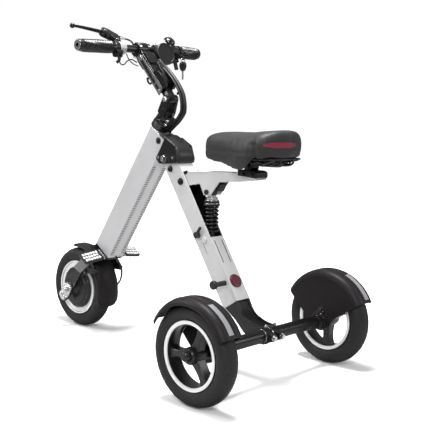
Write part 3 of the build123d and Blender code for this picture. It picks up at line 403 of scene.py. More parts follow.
def smooth_path(points, steps, closed=False):
    """Catmull-Rom curve through the points."""
    count = len(points)
    path = []
    for i in range(count if closed else count - 1):
        a, b, c, d = ([points[(i + k) % count] for k in (-1, 0, 1, 2)] if closed else
                      [points[max(0, min(count - 1, i + k))] for k in (-1, 0, 1, 2)])
        for step in range(steps):
            t = step / steps
            path.append(0.5 * (2 * b + (c - a) * t + (2 * a - 5 * b + 4 * c - d) * t ** 2
                               + (3 * b - a - 3 * c + d) * t ** 3))
    if not closed:
        path.append(points[-1].copy())
    return path


def round_corners(points, radius, steps=5):
    """A polygon of (x, z) points with every corner turned by an arc-like curve."""
    result = []
    count = len(points)
    for i in range(count):
        corner = Vector(points[i])
        before = Vector(points[i - 1]) - corner
        after = Vector(points[(i + 1) % count]) - corner
        reach = min(radius, before.length * 0.49, after.length * 0.49)
        start = corner + before.normalized() * reach
        end = corner + after.normalized() * reach
        for step in range(steps + 1):
            t = step / steps
            point = start * (1 - t) ** 2 + corner * 2 * t * (1 - t) + end * t ** 2
            result.append((point.x, point.y))
    return result


def hull(circles, steps=12):
    """Convex outline round several circles given as (x, z, radius)."""
    points = []
    for x, z, radius in circles:
        for step in range(steps * 2):
            angle = tau * step / (steps * 2)
            points.append((round(x + radius * cos(angle), 6), round(z + radius * sin(angle), 6)))
    points = sorted(set(points))
    halves = []
    for ordered in (points, points[::-1]):
        half = []
        for p in ordered:
            while len(half) > 1 and turn_of(half[-2], half[-1], p) <= 0:
                half.pop()
            half.append(p)
        halves += half[:-1]
    return halves


def turn_of(a, b, c):
    """Positive when a, b, c turn left."""
    return (b[0] - a[0]) * (c[1] - a[1]) - (b[1] - a[1]) * (c[0] - a[0])


def polar(center, radius, degrees, y=0.0):
    """A point round a Y axis, degrees from straight ahead, upwards."""
    angle = radians(degrees)
    return Vector((center[0] + radius * cos(angle), y, center[2] + radius * sin(angle)))


def along_y(point, distance):
    """A point moved along Y."""
    return point + Vector((0, distance, 0))


def superellipse(radius_x, radius_y, power, steps):
    """Points of a rounded-square ring."""
    ring = []
    for step in range(steps):
        angle = tau * step / steps
        c, s = cos(angle), sin(angle)
        ring.append((radius_x * abs(c) ** (2 / power) * (1 if c > 0 else -1),
                     radius_y * abs(s) ** (2 / power) * (1 if s > 0 else -1)))
    return ring


# ---- Wheels ---------------------------------------------------------------------------------------
def tyre(side, body):
    """Pneumatic tyre: round crown with fine grooves, ringed side wall and a bead that meets the rim."""
    hub = HUBS[side]
    crown = 24
    mid = (TYRE_R + RIM_R - 4) / 2
    half_height = TYRE_R - mid
    profile = []
    for step in range(crown * 2):
        angle = pi * step / crown
        radius = mid + half_height * cos(angle)
        along = TYRE_HALF * sin(angle)
        profile.append((max(radius, RIM_R + 0.4), along))

    def tread(angle, radius, along):
        depth = 0.0
        if radius > TYRE_R - 9:
            share = abs(along) / TYRE_HALF
            rib = 0.5 + 0.5 * cos(tau * along / 7.5)
            sipe = 0.5 + 0.5 * cos(angle * 72 + share * 5)
            depth = -0.9 * rib ** 6 - 1.5 * sipe ** 8 * min(1.0, share * 2.2)
        for ridge in (RIM_R + 9, RIM_R + 22):
            depth += 0.5 * exp(-((radius - ridge) / 1.3) ** 2)
        return depth

    Shape().lathe(profile, hub, 288, tread).piece(f"{side}_tyre_tread", body, TYRE, smooth=60,
                                                  stands_for=(f"{side}_tyre",))


def rear_wheel(side, spoke_angles):
    """Cast wheel: dished barrel, bright lips, three broad waisted spokes and a hub with a cap."""
    hub = HUBS[side]
    body = f"{side}_wheel"
    barrel = [(RIM_R - 1, -21), (RIM_R - 1, 21), (RIM_R - 7, 21), (RIM_R - 9.5, 12), (RIM_R - 10.5, 0),
              (RIM_R - 9.5, -12), (RIM_R - 7, -21)]
    wheel = Shape().lathe(barrel, hub, 120)
    core = [(11, -27), (17, -27), (20, -24), (22, -14), (23, 0), (22, 14), (20, 24), (17, 27), (11, 27)]
    wheel.lathe(core, hub, 72)
    wheel.piece(f"{side}_rim_and_hub", body, WHEEL_BLACK, stands_for=(body,))
    spokes = Shape()
    deep = 14
    for degrees in spoke_angles:
        turn = Matrix.Rotation(-radians(degrees), 4, "Y")
        rows = []
        for radius, half in ((17, 13), (30, 10.5), (46, 9), (62, 10.5), (70, 13.5), (77, 19)):
            corners = ((-deep, -half), (deep, -half), (deep, half), (-deep, half))
            rows.append([hub + turn @ Vector((radius, y, z)) for y, z in corners])
        spokes.grid(rows)
    spokes.piece(f"{side}_spokes", body, WHEEL_BLACK, bevel=3)
    lips = Shape()
    for sign in (1, -1):
        profile = [(RIM_R - 8, sign * 20), (RIM_R - 1, sign * 20), (RIM_R + 1.6, sign * 21.5),
                   (RIM_R + 1.6, sign * 23.2), (RIM_R - 2, sign * 23.8), (RIM_R - 7, sign * 22.6)]
        lips.lathe(profile, hub, 120)
    lips.piece(f"{side}_rim_lips", body, BRIGHT, smooth=50)
    caps = Shape()
    outward = 1 if side == "left" else -1
    for radius, start, end in ((14, 27, 33), (11, 33, 37.5), (5.5, 37.5, 39)):
        caps.rod(along_y(hub, outward * start), along_y(hub, outward * end), radius, radius * 0.94, 36)
    caps.piece(f"{side}_hub_cap", body, PLASTIC, bevel=0.8)
    valve = Shape()
    direction = polar((0, 0, 0), 1, spoke_angles[0] + 60)
    for start, end, radius, end_radius in ((9, 30, 3, 2.4), (28, 36, 3.4, 3.4)):
        foot = hub + direction * (RIM_R - start) + Vector((0, 6 + 0.28 * (start - 9), 0))
        tip = hub + direction * (RIM_R - end) + Vector((0, 6 + 0.28 * (end - 9), 0))
        valve.rod(foot, tip, radius, end_radius)
    valve.piece(f"{side}_valve", body, RUBBER)


def front_wheel():
    """Hub motor: broad bright rim band, black drum with stepped side covers and a ring of screws."""
    hub = HUBS["front"]
    band = [(65, -15), (65, 15), (67, 18), (RIM_R - 7, 20), (RIM_R - 1, 20.5), (RIM_R + 1.6, 22),
            (RIM_R + 1.4, 24), (RIM_R - 2.4, 24), (RIM_R - 4, 20), (RIM_R - 5, 15)]
    profile = band + [(r, -y) for r, y in reversed(band[2:])]
    rim = Shape().lathe(profile, hub, 144)
    rim.piece("front_rim", "front_wheel", BRIGHT, smooth=40, stands_for=("front_wheel",))
    drum = [(6.4, 34.5), (15, 34.5), (17, 33), (19, 31), (30, 31.5), (32, 33.5), (52, 33), (55, 30),
            (56.5, 28.5), (61, 28), (65.4, 24), (66.4, 18), (66.4, 0)]
    profile = drum + [(r, -y) for r, y in reversed(drum[:-1])]
    cover = Shape().lathe(profile, hub, 120)
    for sign in (1, -1):
        for step in range(6):
            angle = tau * (step + 0.5) / 6
            spot = hub + Vector((41 * cos(angle), 0, 41 * sin(angle)))
            cover.rod(along_y(spot, sign * 30), along_y(spot, sign * 34.5), 4.5, 3.6, 16)
    cover.piece("hub_motor_drum", "front_wheel", MOTOR)
    screws = Shape()
    for sign in (1, -1):
        for step in range(9):
            angle = tau * step / 9
            spot = hub + Vector((60 * cos(angle), 0, 60 * sin(angle)))
            screws.rod(along_y(spot, sign * 26), along_y(spot, sign * 30), 2.6, 2.2, 14)
    screws.piece("hub_motor_screws", "front_wheel", DARK_STEEL)


# ---- Fenders ----------------------------------------------------------------------------------------
def fender_trim(side, outward):
    """Rolled edges and raised crown beads of a rear fender, with the hanger plate inside it."""
    hub = HUBS[side]
    inner = abs(box_mm("axle_tube")[1].y)
    outer = abs(box_mm("left_fender")[1].y)
    edge = FENDER_R - FENDER_DROP
    trim = Shape()
    for radius, along, wire in ((edge, outer - 1.0, 1.8), (edge, inner + 1.0, 1.6),
                                (FENDER_R + 0.1, outer - FENDER_SHOULDER, 1.1),
                                (FENDER_R + 0.1, inner + FENDER_SHOULDER + 6, 1.1)):
        arch = [polar(hub, radius, angle, outward * along) for angle in range(34, 152, 4)]
        trim.tube(arch, wire, steps=2, sides=8)
    trim.piece(f"{side}_fender_beads", "rear_frame", FENDER)
    plate = Shape()
    bolts = Shape()
    face = inner - 0.5
    outline = hull([(hub.x - 21, hub.z + 7.5, 8), (hub.x + 21, hub.z + 7.5, 8), (hub.x, hub.z + 30, 9)])
    plate.slab(outline, outward * (face - 2.5), outward * face)
    plate.piece(f"{side}_fender_hanger", "rear_frame", BLACK_PAINT, bevel=0.8)
    for dx, dz in ((-21, 7.5), (21, 7.5), (0, 30)):
        spot = Vector((hub.x + dx, 0, hub.z + dz))
        bolts.hexagon(along_y(spot, outward * (face - 2)), along_y(spot, outward * (face - 7)), 8)
    bolts.piece(f"{side}_fender_bolts", "rear_frame", DARK_STEEL, bevel=0.4)


def mudguard():
    """Deep guard behind the front wheel with rounded lower corners, bossed to the fork legs."""
    hub = HUBS["front"]
    rows = []
    first, last, rounded = 128, 198, 9
    for angle in range(first, last + 1, 2):
        close = max(0.0, (angle - last + rounded) / rounded)
        half = 24 + 14 * (1 - close ** 2) ** 0.5
        arch = []
        for share in (-1, -0.995, -0.96, -0.8, -0.45, 0, 0.45, 0.8, 0.96, 0.995, 1):
            side_drop = 22 if abs(share) == 1 else 10 * abs(share) ** 4
            arch.append((share * half, FENDER_R + 2 - side_drop))
        inner = [(y * 0.95, radius - 2.4) for y, radius in reversed(arch)]
        rows.append([polar(hub, radius, angle, y) for y, radius in arch + inner])
    guard = Shape().grid(rows)
    for sign in (1, -1):
        guard.rod(COLUMN @ Vector((-8, sign * 35, -57)) / MM, COLUMN @ Vector((-8, sign * 46, -57)) / MM, 5)
    guard.piece("mudguard", "steering", FENDER, smooth=50, stands_for=("front_mudguard",))


# ---- Fork and front wheel surroundings ----------------------------------------------------------------
def fork_details():
    """Zinc drop-out shoes, the grey leg plates, the black brackets behind the legs and the motor lead."""
    axle = inverse_point(COLUMN, HUBS["front"])
    shoes = Shape()
    nuts = Shape()
    plates = Shape()
    brackets = Shape()
    leg = 54
    plate = round_corners([(27, -116), (10, -66), (-27, -58), (-11, -107)], 2)
    bracket = round_corners([(-18, -48), (-60, -50), (-66, -62), (-44, -76), (-24, -104), (-12, -100)], 5)
    shoe = round_corners([(axle.x + u, axle.z + v) for u, v in
                          ((-13, 15), (17, 15), (20, -14), (26, -40), (8, -53), (-8, -46), (-15, -12))], 8)
    for sign in (1, -1):
        out = leg * sign
        shoes.slab(shoe, out, out + sign * 8)
        for u, v, radius in ((-4, -34, 6), (14, -36, 7), (14, 6, 5)):
            spot = Vector((axle.x + u, out, axle.z + v))
            shoes.rod(spot, along_y(spot, sign * 13), radius, radius - 1)
        nuts.hexagon((axle.x, out + sign * 8, axle.z), (axle.x, out + sign * 20, axle.z), 19)
        nuts.rod((axle.x, out + sign * 7, axle.z), (axle.x, out + sign * 10, axle.z), 13, 13)
        nuts.rod((axle.x, out + sign * 8, axle.z), (axle.x, out + sign * 24, axle.z), 5.5, 5)
        plates.slab(plate, out - sign, out + sign * 3)
        brackets.slab(bracket, out - sign * 8, out - sign)
        for u, v in ((-56, -58), (-30, -64), (-24, -88)):
            brackets.rod((u, out - sign * 10, v), (u, out + sign * 4, v), 6, 5)
    shoes.piece("fork_shoes", "steering", STEEL, COLUMN, bevel=1.4)
    nuts.piece("front_axle_nuts", "steering", STEEL, COLUMN, bevel=0.6)
    plates.piece("fork_leg_plates", "steering", PLATE_GREY, COLUMN, bevel=0.6)
    brackets.piece("fork_brackets", "steering", BLACK_CAST, COLUMN, bevel=1.2)
    lead = Shape()
    lead.tube([(650, -4, 262), (622, 0, 248), (598, 0, 222), (592, 0, 200), (600, 0, 175),
               (616, 0, 158)], 2.8)
    whole = lead.piece("motor_lead", None, RUBBER)
    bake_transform(whole)


# ---- Column -------------------------------------------------------------------------------------------
def column_details():
    """Painted shade of two bands of fine slots down the rear face, edge beads and washers under the upper
    side bolts.
    """
    # Thin dark bars a little proud of the face: painted shade standing for the recessed slots.
    slot_shade = Shape()
    pitch = 7.0
    for band in (21, -21):
        for step in range(49):
            z = 14 + pitch * step
            slot_shade.box(COLUMN_REAR - 0.3, COLUMN_REAR + 0.4, band - 5.5, band + 5.5, z, z + 2.6)
    slot_shade.piece("column_slot_shade", "column", SLOT_SHADE, COLUMN)
    beads = Shape()
    for y in (COLUMN_HALF, -COLUMN_HALF, 12.5, -12.5):
        beads.box(COLUMN_REAR - 0.7, COLUMN_REAR + 0.2, y - 0.7, y + 0.7, 4, 372)
    beads.piece("column_beads", "column", COLUMN_SILVER, COLUMN, bevel=0.3)
    washers = Shape()
    for sign in (1, -1):
        washers.rod((-42, sign * 28.6, 430), (-42, sign * 30.4, 430), 9.5)
        washers.hexagon((-42, sign * 30, 430), (-42, sign * 34.6, 430), 9)
    washers.piece("column_bolt_washers", "column", DARK_STEEL, COLUMN, bevel=0.4)


def footrest_tread(side, sign):
    """Bright brick-pattern tread pads set in the black plate, which hangs a little below level."""
    hinge = inverse_point(COLUMN, joint_at(f"{side}_footrest_fold") / MM)
    to_hinge = Matrix.Translation(hinge)
    place = COLUMN @ to_hinge @ Matrix.Rotation(radians(-FOOT_DROOP * sign), 4, "X") @ to_hinge.inverted()
    pads = Shape()
    for row in range(3):
        for step in range(6):
            start = 51.4 + 9.2 * step + 3 * (row % 2)
            end = min(start + 6.0, 106)
            x = -57.5 + 11.4 * row
            pads.box(x, x + 8.0, min(sign * start, sign * end), max(sign * start, sign * end), -1, 3.4)
    pads.piece(f"{side}_tread_pads", f"{side}_footrest", BRIGHT, place, bevel=0.6)


def hinge_details():
    """Moulded hood over the hinge, dark cheek plates with their bosses, and bolts."""
    stations = [(-38, 445, 448), (-46, 447, 453), (-60, 450, 456), (-84, 452, 459), (-108, 452, 459),
                (-124, 446, 455), (-136, 436, 446), (-144, 426, 433)]
    rows = [hood_ring(*station) for station in smooth_path([Vector(station) for station in stations], 3)]
    Shape().grid(rows).piece("hinge_hood", "column", COVER, COLUMN, bevel=2, smooth=60, subdivide=1,
                             stands_for=("hinge_cover",))
    pivot = inverse_point(COLUMN, joint_at("frame_fold") / MM)
    cheek = round_corners([(-62, 456), (-108, 461), (-139, 438), (-143, 427), (-88, 383), (-66, 384)], 4)
    cheeks = Shape()
    bolts = Shape()
    for sign in (1, -1):
        cheeks.slab(cheek, sign * CHEEK_SIDE, sign * (CHEEK_SIDE + 3.8))
        cheeks.rod((pivot.x, sign * 32, pivot.z), (pivot.x, sign * 36, pivot.z), 13, 12)
        bolts.hexagon((pivot.x, sign * 36, pivot.z), (pivot.x, sign * 43, pivot.z), 12)
        bolts.rod((pivot.x, sign * 35.5, pivot.z), (pivot.x, sign * 37.4, pivot.z), 10)
        for u, v in ((-74, 395), (-122, 430)):
            bolts.hexagon((u, sign * 33.4, v), (u, sign * 37.5, v), 7)
    cheeks.piece("hinge_cheeks", "column", BLACK_CAST, COLUMN, bevel=1)
    bolts.piece("hinge_bolts", "column", STEEL, COLUMN, bevel=0.4)


def hood_ring(u, low, top):
    """Arched cross-section of the hood at one distance behind the steering axis."""
    half = 31.0
    ring = []
    for step in range(15):
        angle = pi * step / 14
        c, s = cos(angle), sin(angle)
        y = half * abs(c) ** 0.45 * (1 if c > 0 else -1)
        ring.append((u, y, low + (top - low) * s ** 0.5))
    return ring


# ---- Beam, yoke and axle ------------------------------------------------------------------------------
def beam_details():
    """Painted shade of the beam's engraved lines, edge beads, black sheets painted as shade inside its
    channel, caps and the reflector's bezel.
    """
    # Dark strips on the side and rear faces: painted shade of engraved lines.
    dark = Shape()
    for sign in (1, -1):
        dark.plate([(-6.2, -252), (-4.8, -252), (-4.8, -300), (-6.2, -300)], 0.6, sign * 25.6, sign * 26.2)
    for y in (14, -14):
        dark.box(BEAM_REAR - 0.3, BEAM_REAR + 0.4, y - 1.2, y + 1.2, -344, -277)
    dark.piece("beam_slot_shade", "rear_frame", DARK_STEEL, BEAM)
    # Black sheets inside the channel: painted shade of the channel's inside.
    shade_sheets = Shape()
    for sign in (1, -1):
        shade_sheets.box(-37, 12, min(sign * 21.4, sign * 22.8), max(sign * 21.4, sign * 22.8), -271, -64)
    shade_sheets.box(12, 13.8, -22.8, 22.8, -300, -64)
    shade_sheets.piece("channel_shade_sheets", "rear_frame", PLASTIC, BEAM)
    beads = Shape()
    for sign in (1, -1):
        beads.box(BEAM_REAR - 0.5, BEAM_REAR + 1, sign * 24.2 - 1, sign * 24.2 + 1, -450, -64)
        beads.box(-33.4, -32.4, sign * 25.8 - 0.5, sign * 25.8 + 0.5, -450, -30)
        beads.rod((-16, sign * 25.5, -264), (-16, sign * 29.8, -264), 9, 8.4)
    beads.piece("beam_beads", "rear_frame", SILVER, BEAM, bevel=0.3)
    profile = [(19, 0), (19, 3), (16.4, 4.4), (16.4, 0)]
    rows = []
    for step in range(48):
        angle = tau * step / 48
        rows.append([(BEAM_REAR - along, r * cos(angle), -400 + r * sin(angle)) for r, along in profile])
    bezel = Shape().grid(rows, closed_columns=True)
    bezel.piece("reflector_bezel", "rear_frame", REFLECTOR, BEAM)
    collars = Shape()
    for x, z, r in ((-1, -33, 9), (-18.6, -83, 10)):
        for sign in (1, -1):
            collars.rod((x, sign * 26, z), (x, sign * 28, z), r)
            collars.hexagon((x, sign * 30, z), (x, sign * 34.5, z), 8)
    collars.piece("beam_washers", "rear_frame", BLACK_PAINT, BEAM, bevel=0.4)


def yoke_arm():
    """Cast arm: broad at the beam, narrowing and curving back to the axle clamps, with raised side ribs."""
    foot_front = BEAM @ Vector((17, 0, BEAM_FOOT)) / MM
    foot_rear = BEAM @ Vector((BEAM_REAR, 0, BEAM_FOOT)) / MM
    top = smooth_path([foot_rear, Vector((68, 0, 172)), Vector((34, 0, 156)), Vector((-4, 0, 150))], 5)
    bottom = smooth_path([foot_front, Vector((96, 0, 150)), Vector((62, 0, 120)), Vector((12, 0, 104))], 5)
    rows = []
    for upper, lower in zip(top, bottom):
        axis = (lower - upper)
        ring = []
        for share, y in ((0.16, 19), (0.0, 20), (0.0, 26), (0.5, 25.5), (0.94, 24), (1.0, 19),
                         (1.0, -19), (0.94, -24), (0.5, -25.5), (0.0, -26), (0.0, -20), (0.16, -19)):
            ring.append(upper + axis * share + Vector((0, y, 0)))
        rows.append(ring)
    arm = Shape().grid(rows)
    for y0, y1 in ((6, 25), (-25, -6)):
        arm.lathe([(18, y0), (22, y0), (23, (y0 + y1) / 2), (22, y1), (18, y1)], (0, 0, HUBS["left"].z), 48)
        arm.slab([(-34, 118), (-16, 114), (-16, 140), (-34, 136)], y0 + 1, y1 - 1)
    arm.piece("yoke_casting", "rear_frame", BLACK_CAST, ROW, bevel=1.5, smooth=50, stands_for=("yoke",))
    bolts = Shape()
    for y in (-16, 16):
        bolts.hexagon((-33, y, 127), (-41, y, 127), 11)
        bolts.rod((-33, y, 127), (-35, y, 127), 8)
        bolts.hexagon((-5, y, 149), (-9, y, 156), 9)
    for y0, y1 in ((3, 6.5), (-6.5, -3), (25, 27.5), (-27.5, -25)):
        bolts.lathe([(17.6, y0), (19, y0), (19, y1), (17.6, y1)], (0, 0, HUBS["left"].z), 48)
    bolts.piece("clamp_bolts", "rear_frame", STEEL, bevel=0.5)


def axle_details():
    """Raised collars along the axle tube."""
    hub = Vector((0, 0, HUBS["left"].z))
    collars = Shape()
    for sign in (1, -1):
        for start, end, radius in ((29, 33, 19.5), (196, 222, 20.5), (214, 224, 24)):
            collars.rod(along_y(hub, sign * start), along_y(hub, sign * end), radius, radius, 48)
    collars.piece("axle_collars", "rear_frame", BLACK_PAINT, bevel=1)


# ---- Seat arm, shock and saddle ---------------------------------------------------------------------
def seat_arm_details():
    """Top flange line, hinge ears and the bolted clamp at the end of the seat arm."""
    low, high = box_mm("seat_arm")
    flange = Shape()
    for sign in (1, -1):
        side = sign * ARM_SIDE
        flange.tube([(high.x - 26, side, 531), (240, side, 536), (150, side, 539), (low.x + 50, side, 541)],
                    1.3, steps=3, sides=8)
    flange.piece("seat_arm_beads", "seat_arm", SILVER)
    ear = round_corners([(318, 514), (304, 533), (288, 537), (286, 531), (298, 522), (308, 504)], 4)
    ears = Shape()
    for sign in (1, -1):
        ears.slab(ear, sign * ARM_SIDE, sign * (ARM_SIDE + 1.4))
    ears.piece("seat_arm_hinge", "seat_arm", BLACK_PAINT, bevel=0.8)
    clamp = Shape()
    clamp.plate([(low.x - 3, 532), (low.x - 3, high.z + 3), (low.x + 6, high.z + 7),
                 (low.x + 60, high.z + 7), (low.x + 62, 536), (low.x + 20, 534)], 4, -23, 23)
    clamp.piece("arm_end_clamp", "seat_arm", BLACK_CAST, bevel=1.5)
    bolts = Shape()
    for sign in (1, -1):
        for dx in (14, 44):
            bolts.hexagon((low.x + dx, sign * 23, 541), (low.x + dx, sign * 27, 541), 9)
    bolts.piece("arm_clamp_bolts", "seat_arm", DARK_STEEL, bevel=0.4)


def shock_details():
    """Knurled preload rings, bright eye and lock ring, and the lower seat of the shock absorber."""
    x = SHOCK_TOP.x
    spring_low, spring_high = box_mm("shock_spring")
    top = spring_high.z + 0.4
    upper = Shape()
    for z0, z1, r in ((top - 4, top + 1, 22), (top + 3.5, top + 7, 20.5)):
        wave_ring(upper, (x, 0), z0, z1, r, 0.8, 24, DAMPER_R)
    upper.piece("shock_collars", "shock_upper", BLACK_PAINT, bevel=0.3)
    bright = Shape()
    wave_ring(bright, (x, 0), top + 1, top + 3.5, 20.5, 0, 24, DAMPER_R)
    for z0, z1, r in ((top + 7, top + 12, 19), (top + 12, top + 19, 16), (top + 19, top + 25, 12)):
        wave_ring(bright, (x, 0), z0, z1, r, 0, 24, DAMPER_R)
    for sign in (1, -1):
        bright.rod((x, sign * 9, SHOCK_TOP.z), (x, sign * 17.5, SHOCK_TOP.z), 8)
    bright.piece("shock_bright_rings", "shock_upper", STEEL, bevel=0.3)
    lower = Shape()
    foot = box_mm("shock_shaft")[0].z + 11
    wave_ring(lower, (x, 0), spring_low.z - 6, spring_low.z - 0.6, 19, 0.6, 20, DAMPER_R)
    for sign in (1, -1):
        lower.rod((x, sign * 9, foot), (x, sign * 14, foot), 9)
    lower.piece("shock_foot_rings", "shock_lower", BLACK_PAINT, bevel=0.4)


def shock_coil():
    """Coil spring round the shock absorber, carried on its upper part."""
    low, high = box_mm("shock_spring")
    radius = (high.x - low.x) / 2 - SPRING_WIRE
    per_turn = 12
    last = SPRING_TURNS * per_turn
    points = []
    for k in range(last + 1):
        angle = tau * k / per_turn
        rise = (high.z - low.z - 2 * SPRING_WIRE) * k / last
        points.append((SHOCK_TOP.x + radius * cos(angle), radius * sin(angle), low.z + SPRING_WIRE + rise))
    coil = Shape().tube(points, SPRING_WIRE, steps=3, sides=10)
    coil = coil.piece("shock_coil", "shock_upper", SPRING, stands_for=("shock_spring",))
    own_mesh(coil)


def wave_ring(shape, center, z0, z1, radius, ripple, teeth, bore=0.0):
    """A ring round a Z axis with a knurled rim; without a bore it is a full disc."""
    cx, cy = center
    steps = teeth * 4
    rows = []
    if bore:
        for z in (z1, z0):
            rows.append([(cx + bore * cos(tau * k / steps), cy + bore * sin(tau * k / steps), z)
                         for k in range(steps)])
    for z, shrink in ((z0, 0.6), (z0 + 0.6, 0), (z1 - 0.6, 0), (z1, 0.6)):
        rim = [radius - shrink + ripple * cos(teeth * tau * k / steps) for k in range(steps)]
        rows.append([(cx + r * cos(tau * k / steps), cy + r * sin(tau * k / steps), z)
                     for k, r in enumerate(rim)])
    return shape.grid(rows, closed_columns=bool(bore))


def between(stations, place):
    """Value at a place along (place, value) stations, eased from one station to the next."""
    for (p0, v0), (p1, v1) in zip(stations, stations[1:]):
        if place <= p1:
            t = max(0.0, (place - p0) / (p1 - p0))
            return v0 + (v1 - v0) * t * t * (3 - 2 * t)
    return stations[-1][1]


def saddle_half_width(share):
    """Half width of the saddle in plan, as a share of its widest, from rear (0) to nose (1)."""
    return between(((0.0, 0.60), (0.05, 0.84), (0.13, 0.96), (0.24, 1.0), (0.36, 0.93), (0.46, 0.76),
                    (0.58, 0.57), (0.72, 0.46), (0.86, 0.41), (0.95, 0.34), (1.0, 0.20)), share)


def skirt_edge(share):
    """Height of the lower edge of the saddle's skirt, from rear (0) to nose (1)."""
    return between(((0.0, 594), (0.06, 592), (0.14, 585), (0.22, 572), (0.30, 557), (0.38, 550),
                    (0.51, 554), (0.71, 564), (1.0, 573)), share)


def saddle_top(share):
    """Height of the saddle's crown along its middle, from rear (0) to nose (1)."""
    rise = 651 + 11 * exp(-(share / 0.2) ** 2)
    dip = 5 * exp(-((share - 0.42) / 0.16) ** 2)
    nose = 22 * (max(0.0, share - 0.68) / 0.32) ** 2.4
    return rise - dip - nose


def saddle_shell(shrink):
    """Closed saddle form: rounded shoulders, and skirts round a hollow over the base."""
    length = SEAT_HIGH.x - SEAT_LOW.x
    half = SEAT_HIGH.y
    rows = []
    stations = 30
    for i in range(stations + 1):
        share = 0.5 - 0.5 * cos(pi * i / stations)
        end = min(1.0, (1 - abs(2 * share - 1) ** 12)) if 0 < share < 1 else 0.02
        width = (half * saddle_half_width(share) - shrink) * max(0.25, end)
        top = saddle_top(share) - shrink
        low = skirt_edge(share)
        if i in (0, stations):
            top -= 16
            low += 6
        hollow = SEAT_BASE if 4 <= i <= stations - 4 else low
        x = SEAT_LOW.x + length * share
        rows.append([(x, y, z) for y, z in saddle_ring(width, low, top, hollow)])
    return Shape().grid(rows)


def saddle_ring(width, low, top, hollow):
    """One cross-section of the saddle: left skirt, over the crown, right skirt, and the hollow between."""
    ring = []
    for step in range(25):
        angle = pi * step / 24
        c, s = cos(angle), sin(angle)
        y = width * abs(c) ** 0.42 * (1 if c > 0 else -1)
        z = low + (top - low) * s ** 0.62
        pull = 1 - 0.10 * (1 - s) ** 3
        ring.append((y * pull, z))
    inside = width * 0.9 - SKIRT_THICKNESS if width > 2 * SKIRT_THICKNESS else width * 0.4
    return ring + [(-inside, low), (-inside, hollow), (inside, hollow), (inside, low)]


def saddle():
    """Foam saddle with a vinyl cover: blown up as cloth over its base, then creased along its seams."""
    cover = saddle_shell(COVER_START).piece("saddle_cover", None, VINYL)
    remesh = cover.modifiers.new("even", "REMESH")
    remesh.mode = "VOXEL"
    remesh.voxel_size = COVER_VOXEL * MM
    bake(cover)
    relax(cover, 8)
    inflate(cover, COVER_MOVE)
    relax(cover, 26)
    press_seams(cover)
    cover.modifiers.new("smooth", "SUBSURF").render_levels = 1
    cover.modifiers["smooth"].levels = 1
    bake(cover)
    cover.data.shade_smooth()
    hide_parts("saddle_cushion")
    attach(cover, "saddle")
    return cover


def relax(obj, iterations):
    """Even out a mesh's small bumps."""
    smooth = obj.modifiers.new("relax", "SMOOTH")
    smooth.factor = 0.5
    smooth.iterations = iterations
    bake(obj)


def bake(obj):
    """Write an object's modifiers into its mesh."""
    graph = bpy.context.evaluated_depsgraph_get()
    mesh = bpy.data.meshes.new_from_object(obj.evaluated_get(graph))
    finish = obj.data.materials[0]
    obj.modifiers.clear()
    obj.data = mesh
    if not mesh.materials:
        mesh.materials.append(finish)


def inflate(cover, limit):
    """Cloth pressure with the skirts and seam pinned; no point moves more than limit millimetres."""
    rest = [vertex.co.copy() for vertex in cover.data.vertices]
    base = (SEAT_BASE + 6) * MM
    pins = cover.vertex_groups.new(name="pins")
    held = [v.index for v in cover.data.vertices if v.co.z < base or seam_depth(v.co / MM) > 0.75]
    pins.add(held, 1.0, "REPLACE")
    cloth = cover.modifiers.new("cloth", "CLOTH")
    cloth.settings.quality = 6
    cloth.settings.mass = 0.25
    cloth.settings.tension_stiffness = 25
    cloth.settings.compression_stiffness = 12
    cloth.settings.bending_stiffness = 4.0
    cloth.settings.use_pressure = True
    cloth.settings.uniform_pressure_force = 4.0
    cloth.settings.effector_weights.gravity = 0
    cloth.settings.vertex_group_mass = "pins"
    cloth.point_cache.frame_start = 1
    cloth.point_cache.frame_end = CLOTH_FRAMES
    for number in range(1, CLOTH_FRAMES + 1):
        bpy.context.scene.frame_set(number)
    bake(cover)
    bpy.context.scene.frame_set(1)
    for vertex, start in zip(cover.data.vertices, rest):
        move = vertex.co - start
        if move.length > limit * MM:
            vertex.co = start + move.normalized() * limit * MM


def seam_depth(point):
    """How much a point in millimetres belongs to the seam round the flank, from 0 to 1."""
    share = (point.x - SEAT_LOW.x) / (SEAT_HIGH.x - SEAT_LOW.x)
    return exp(-((point.z - saddle_welt(share)) / 2.6) ** 2)


def saddle_welt(share):
    """Height of the seam that runs round the saddle's flank."""
    return SEAT_BASE + 13 - 3 * share


def press_seams(cover):
    """Creases pressed into the cover: along the flank, down the middle and beside the rear lobes."""
    cover.data.update()
    normals = [vertex.normal.copy() for vertex in cover.data.vertices]
    for vertex, normal in zip(cover.data.vertices, normals):
        point = vertex.co / MM
        depth = 1.2 * seam_depth(point)
        flank = max(0.0, min(1.0, (abs(point.y) - 0.6 * SEAT_HIGH.y) / 22))
        below_top = max(0.0, min(1.0, (SEAT_HIGH.z - 2 - point.z) / 26))
        depth += 11.0 * exp(-((point.x + 4 - 0.14 * (point.z - SEAT_BASE)) / 12) ** 2) * flank * below_top
        middle = exp(-(point.y / 9) ** 2) * max(0.0, normal.z) * max(0.0, min(1.0, (point.x - 40) / 60))
        depth += 1.6 * middle
        vertex.co -= normal * depth * MM


def saddle_base():
    """Stiff base inside the skirts, following the saddle's plan."""
    length = SEAT_HIGH.x - SEAT_LOW.x
    rows = []
    for i in range(17):
        share = 0.05 + 0.90 * i / 16
        half = SEAT_HIGH.y * saddle_half_width(share) * 0.9 - 18
        x = SEAT_LOW.x + length * share
        rows.append([(x, -half, SEAT_BASE - 5), (x, half, SEAT_BASE - 5), (x, half, SEAT_BASE - 0.5),
                     (x, -half, SEAT_BASE - 0.5)])
    Shape().grid(rows).piece("saddle_base", "saddle", PLASTIC, bevel=1.5, stands_for=("saddle_pan",))


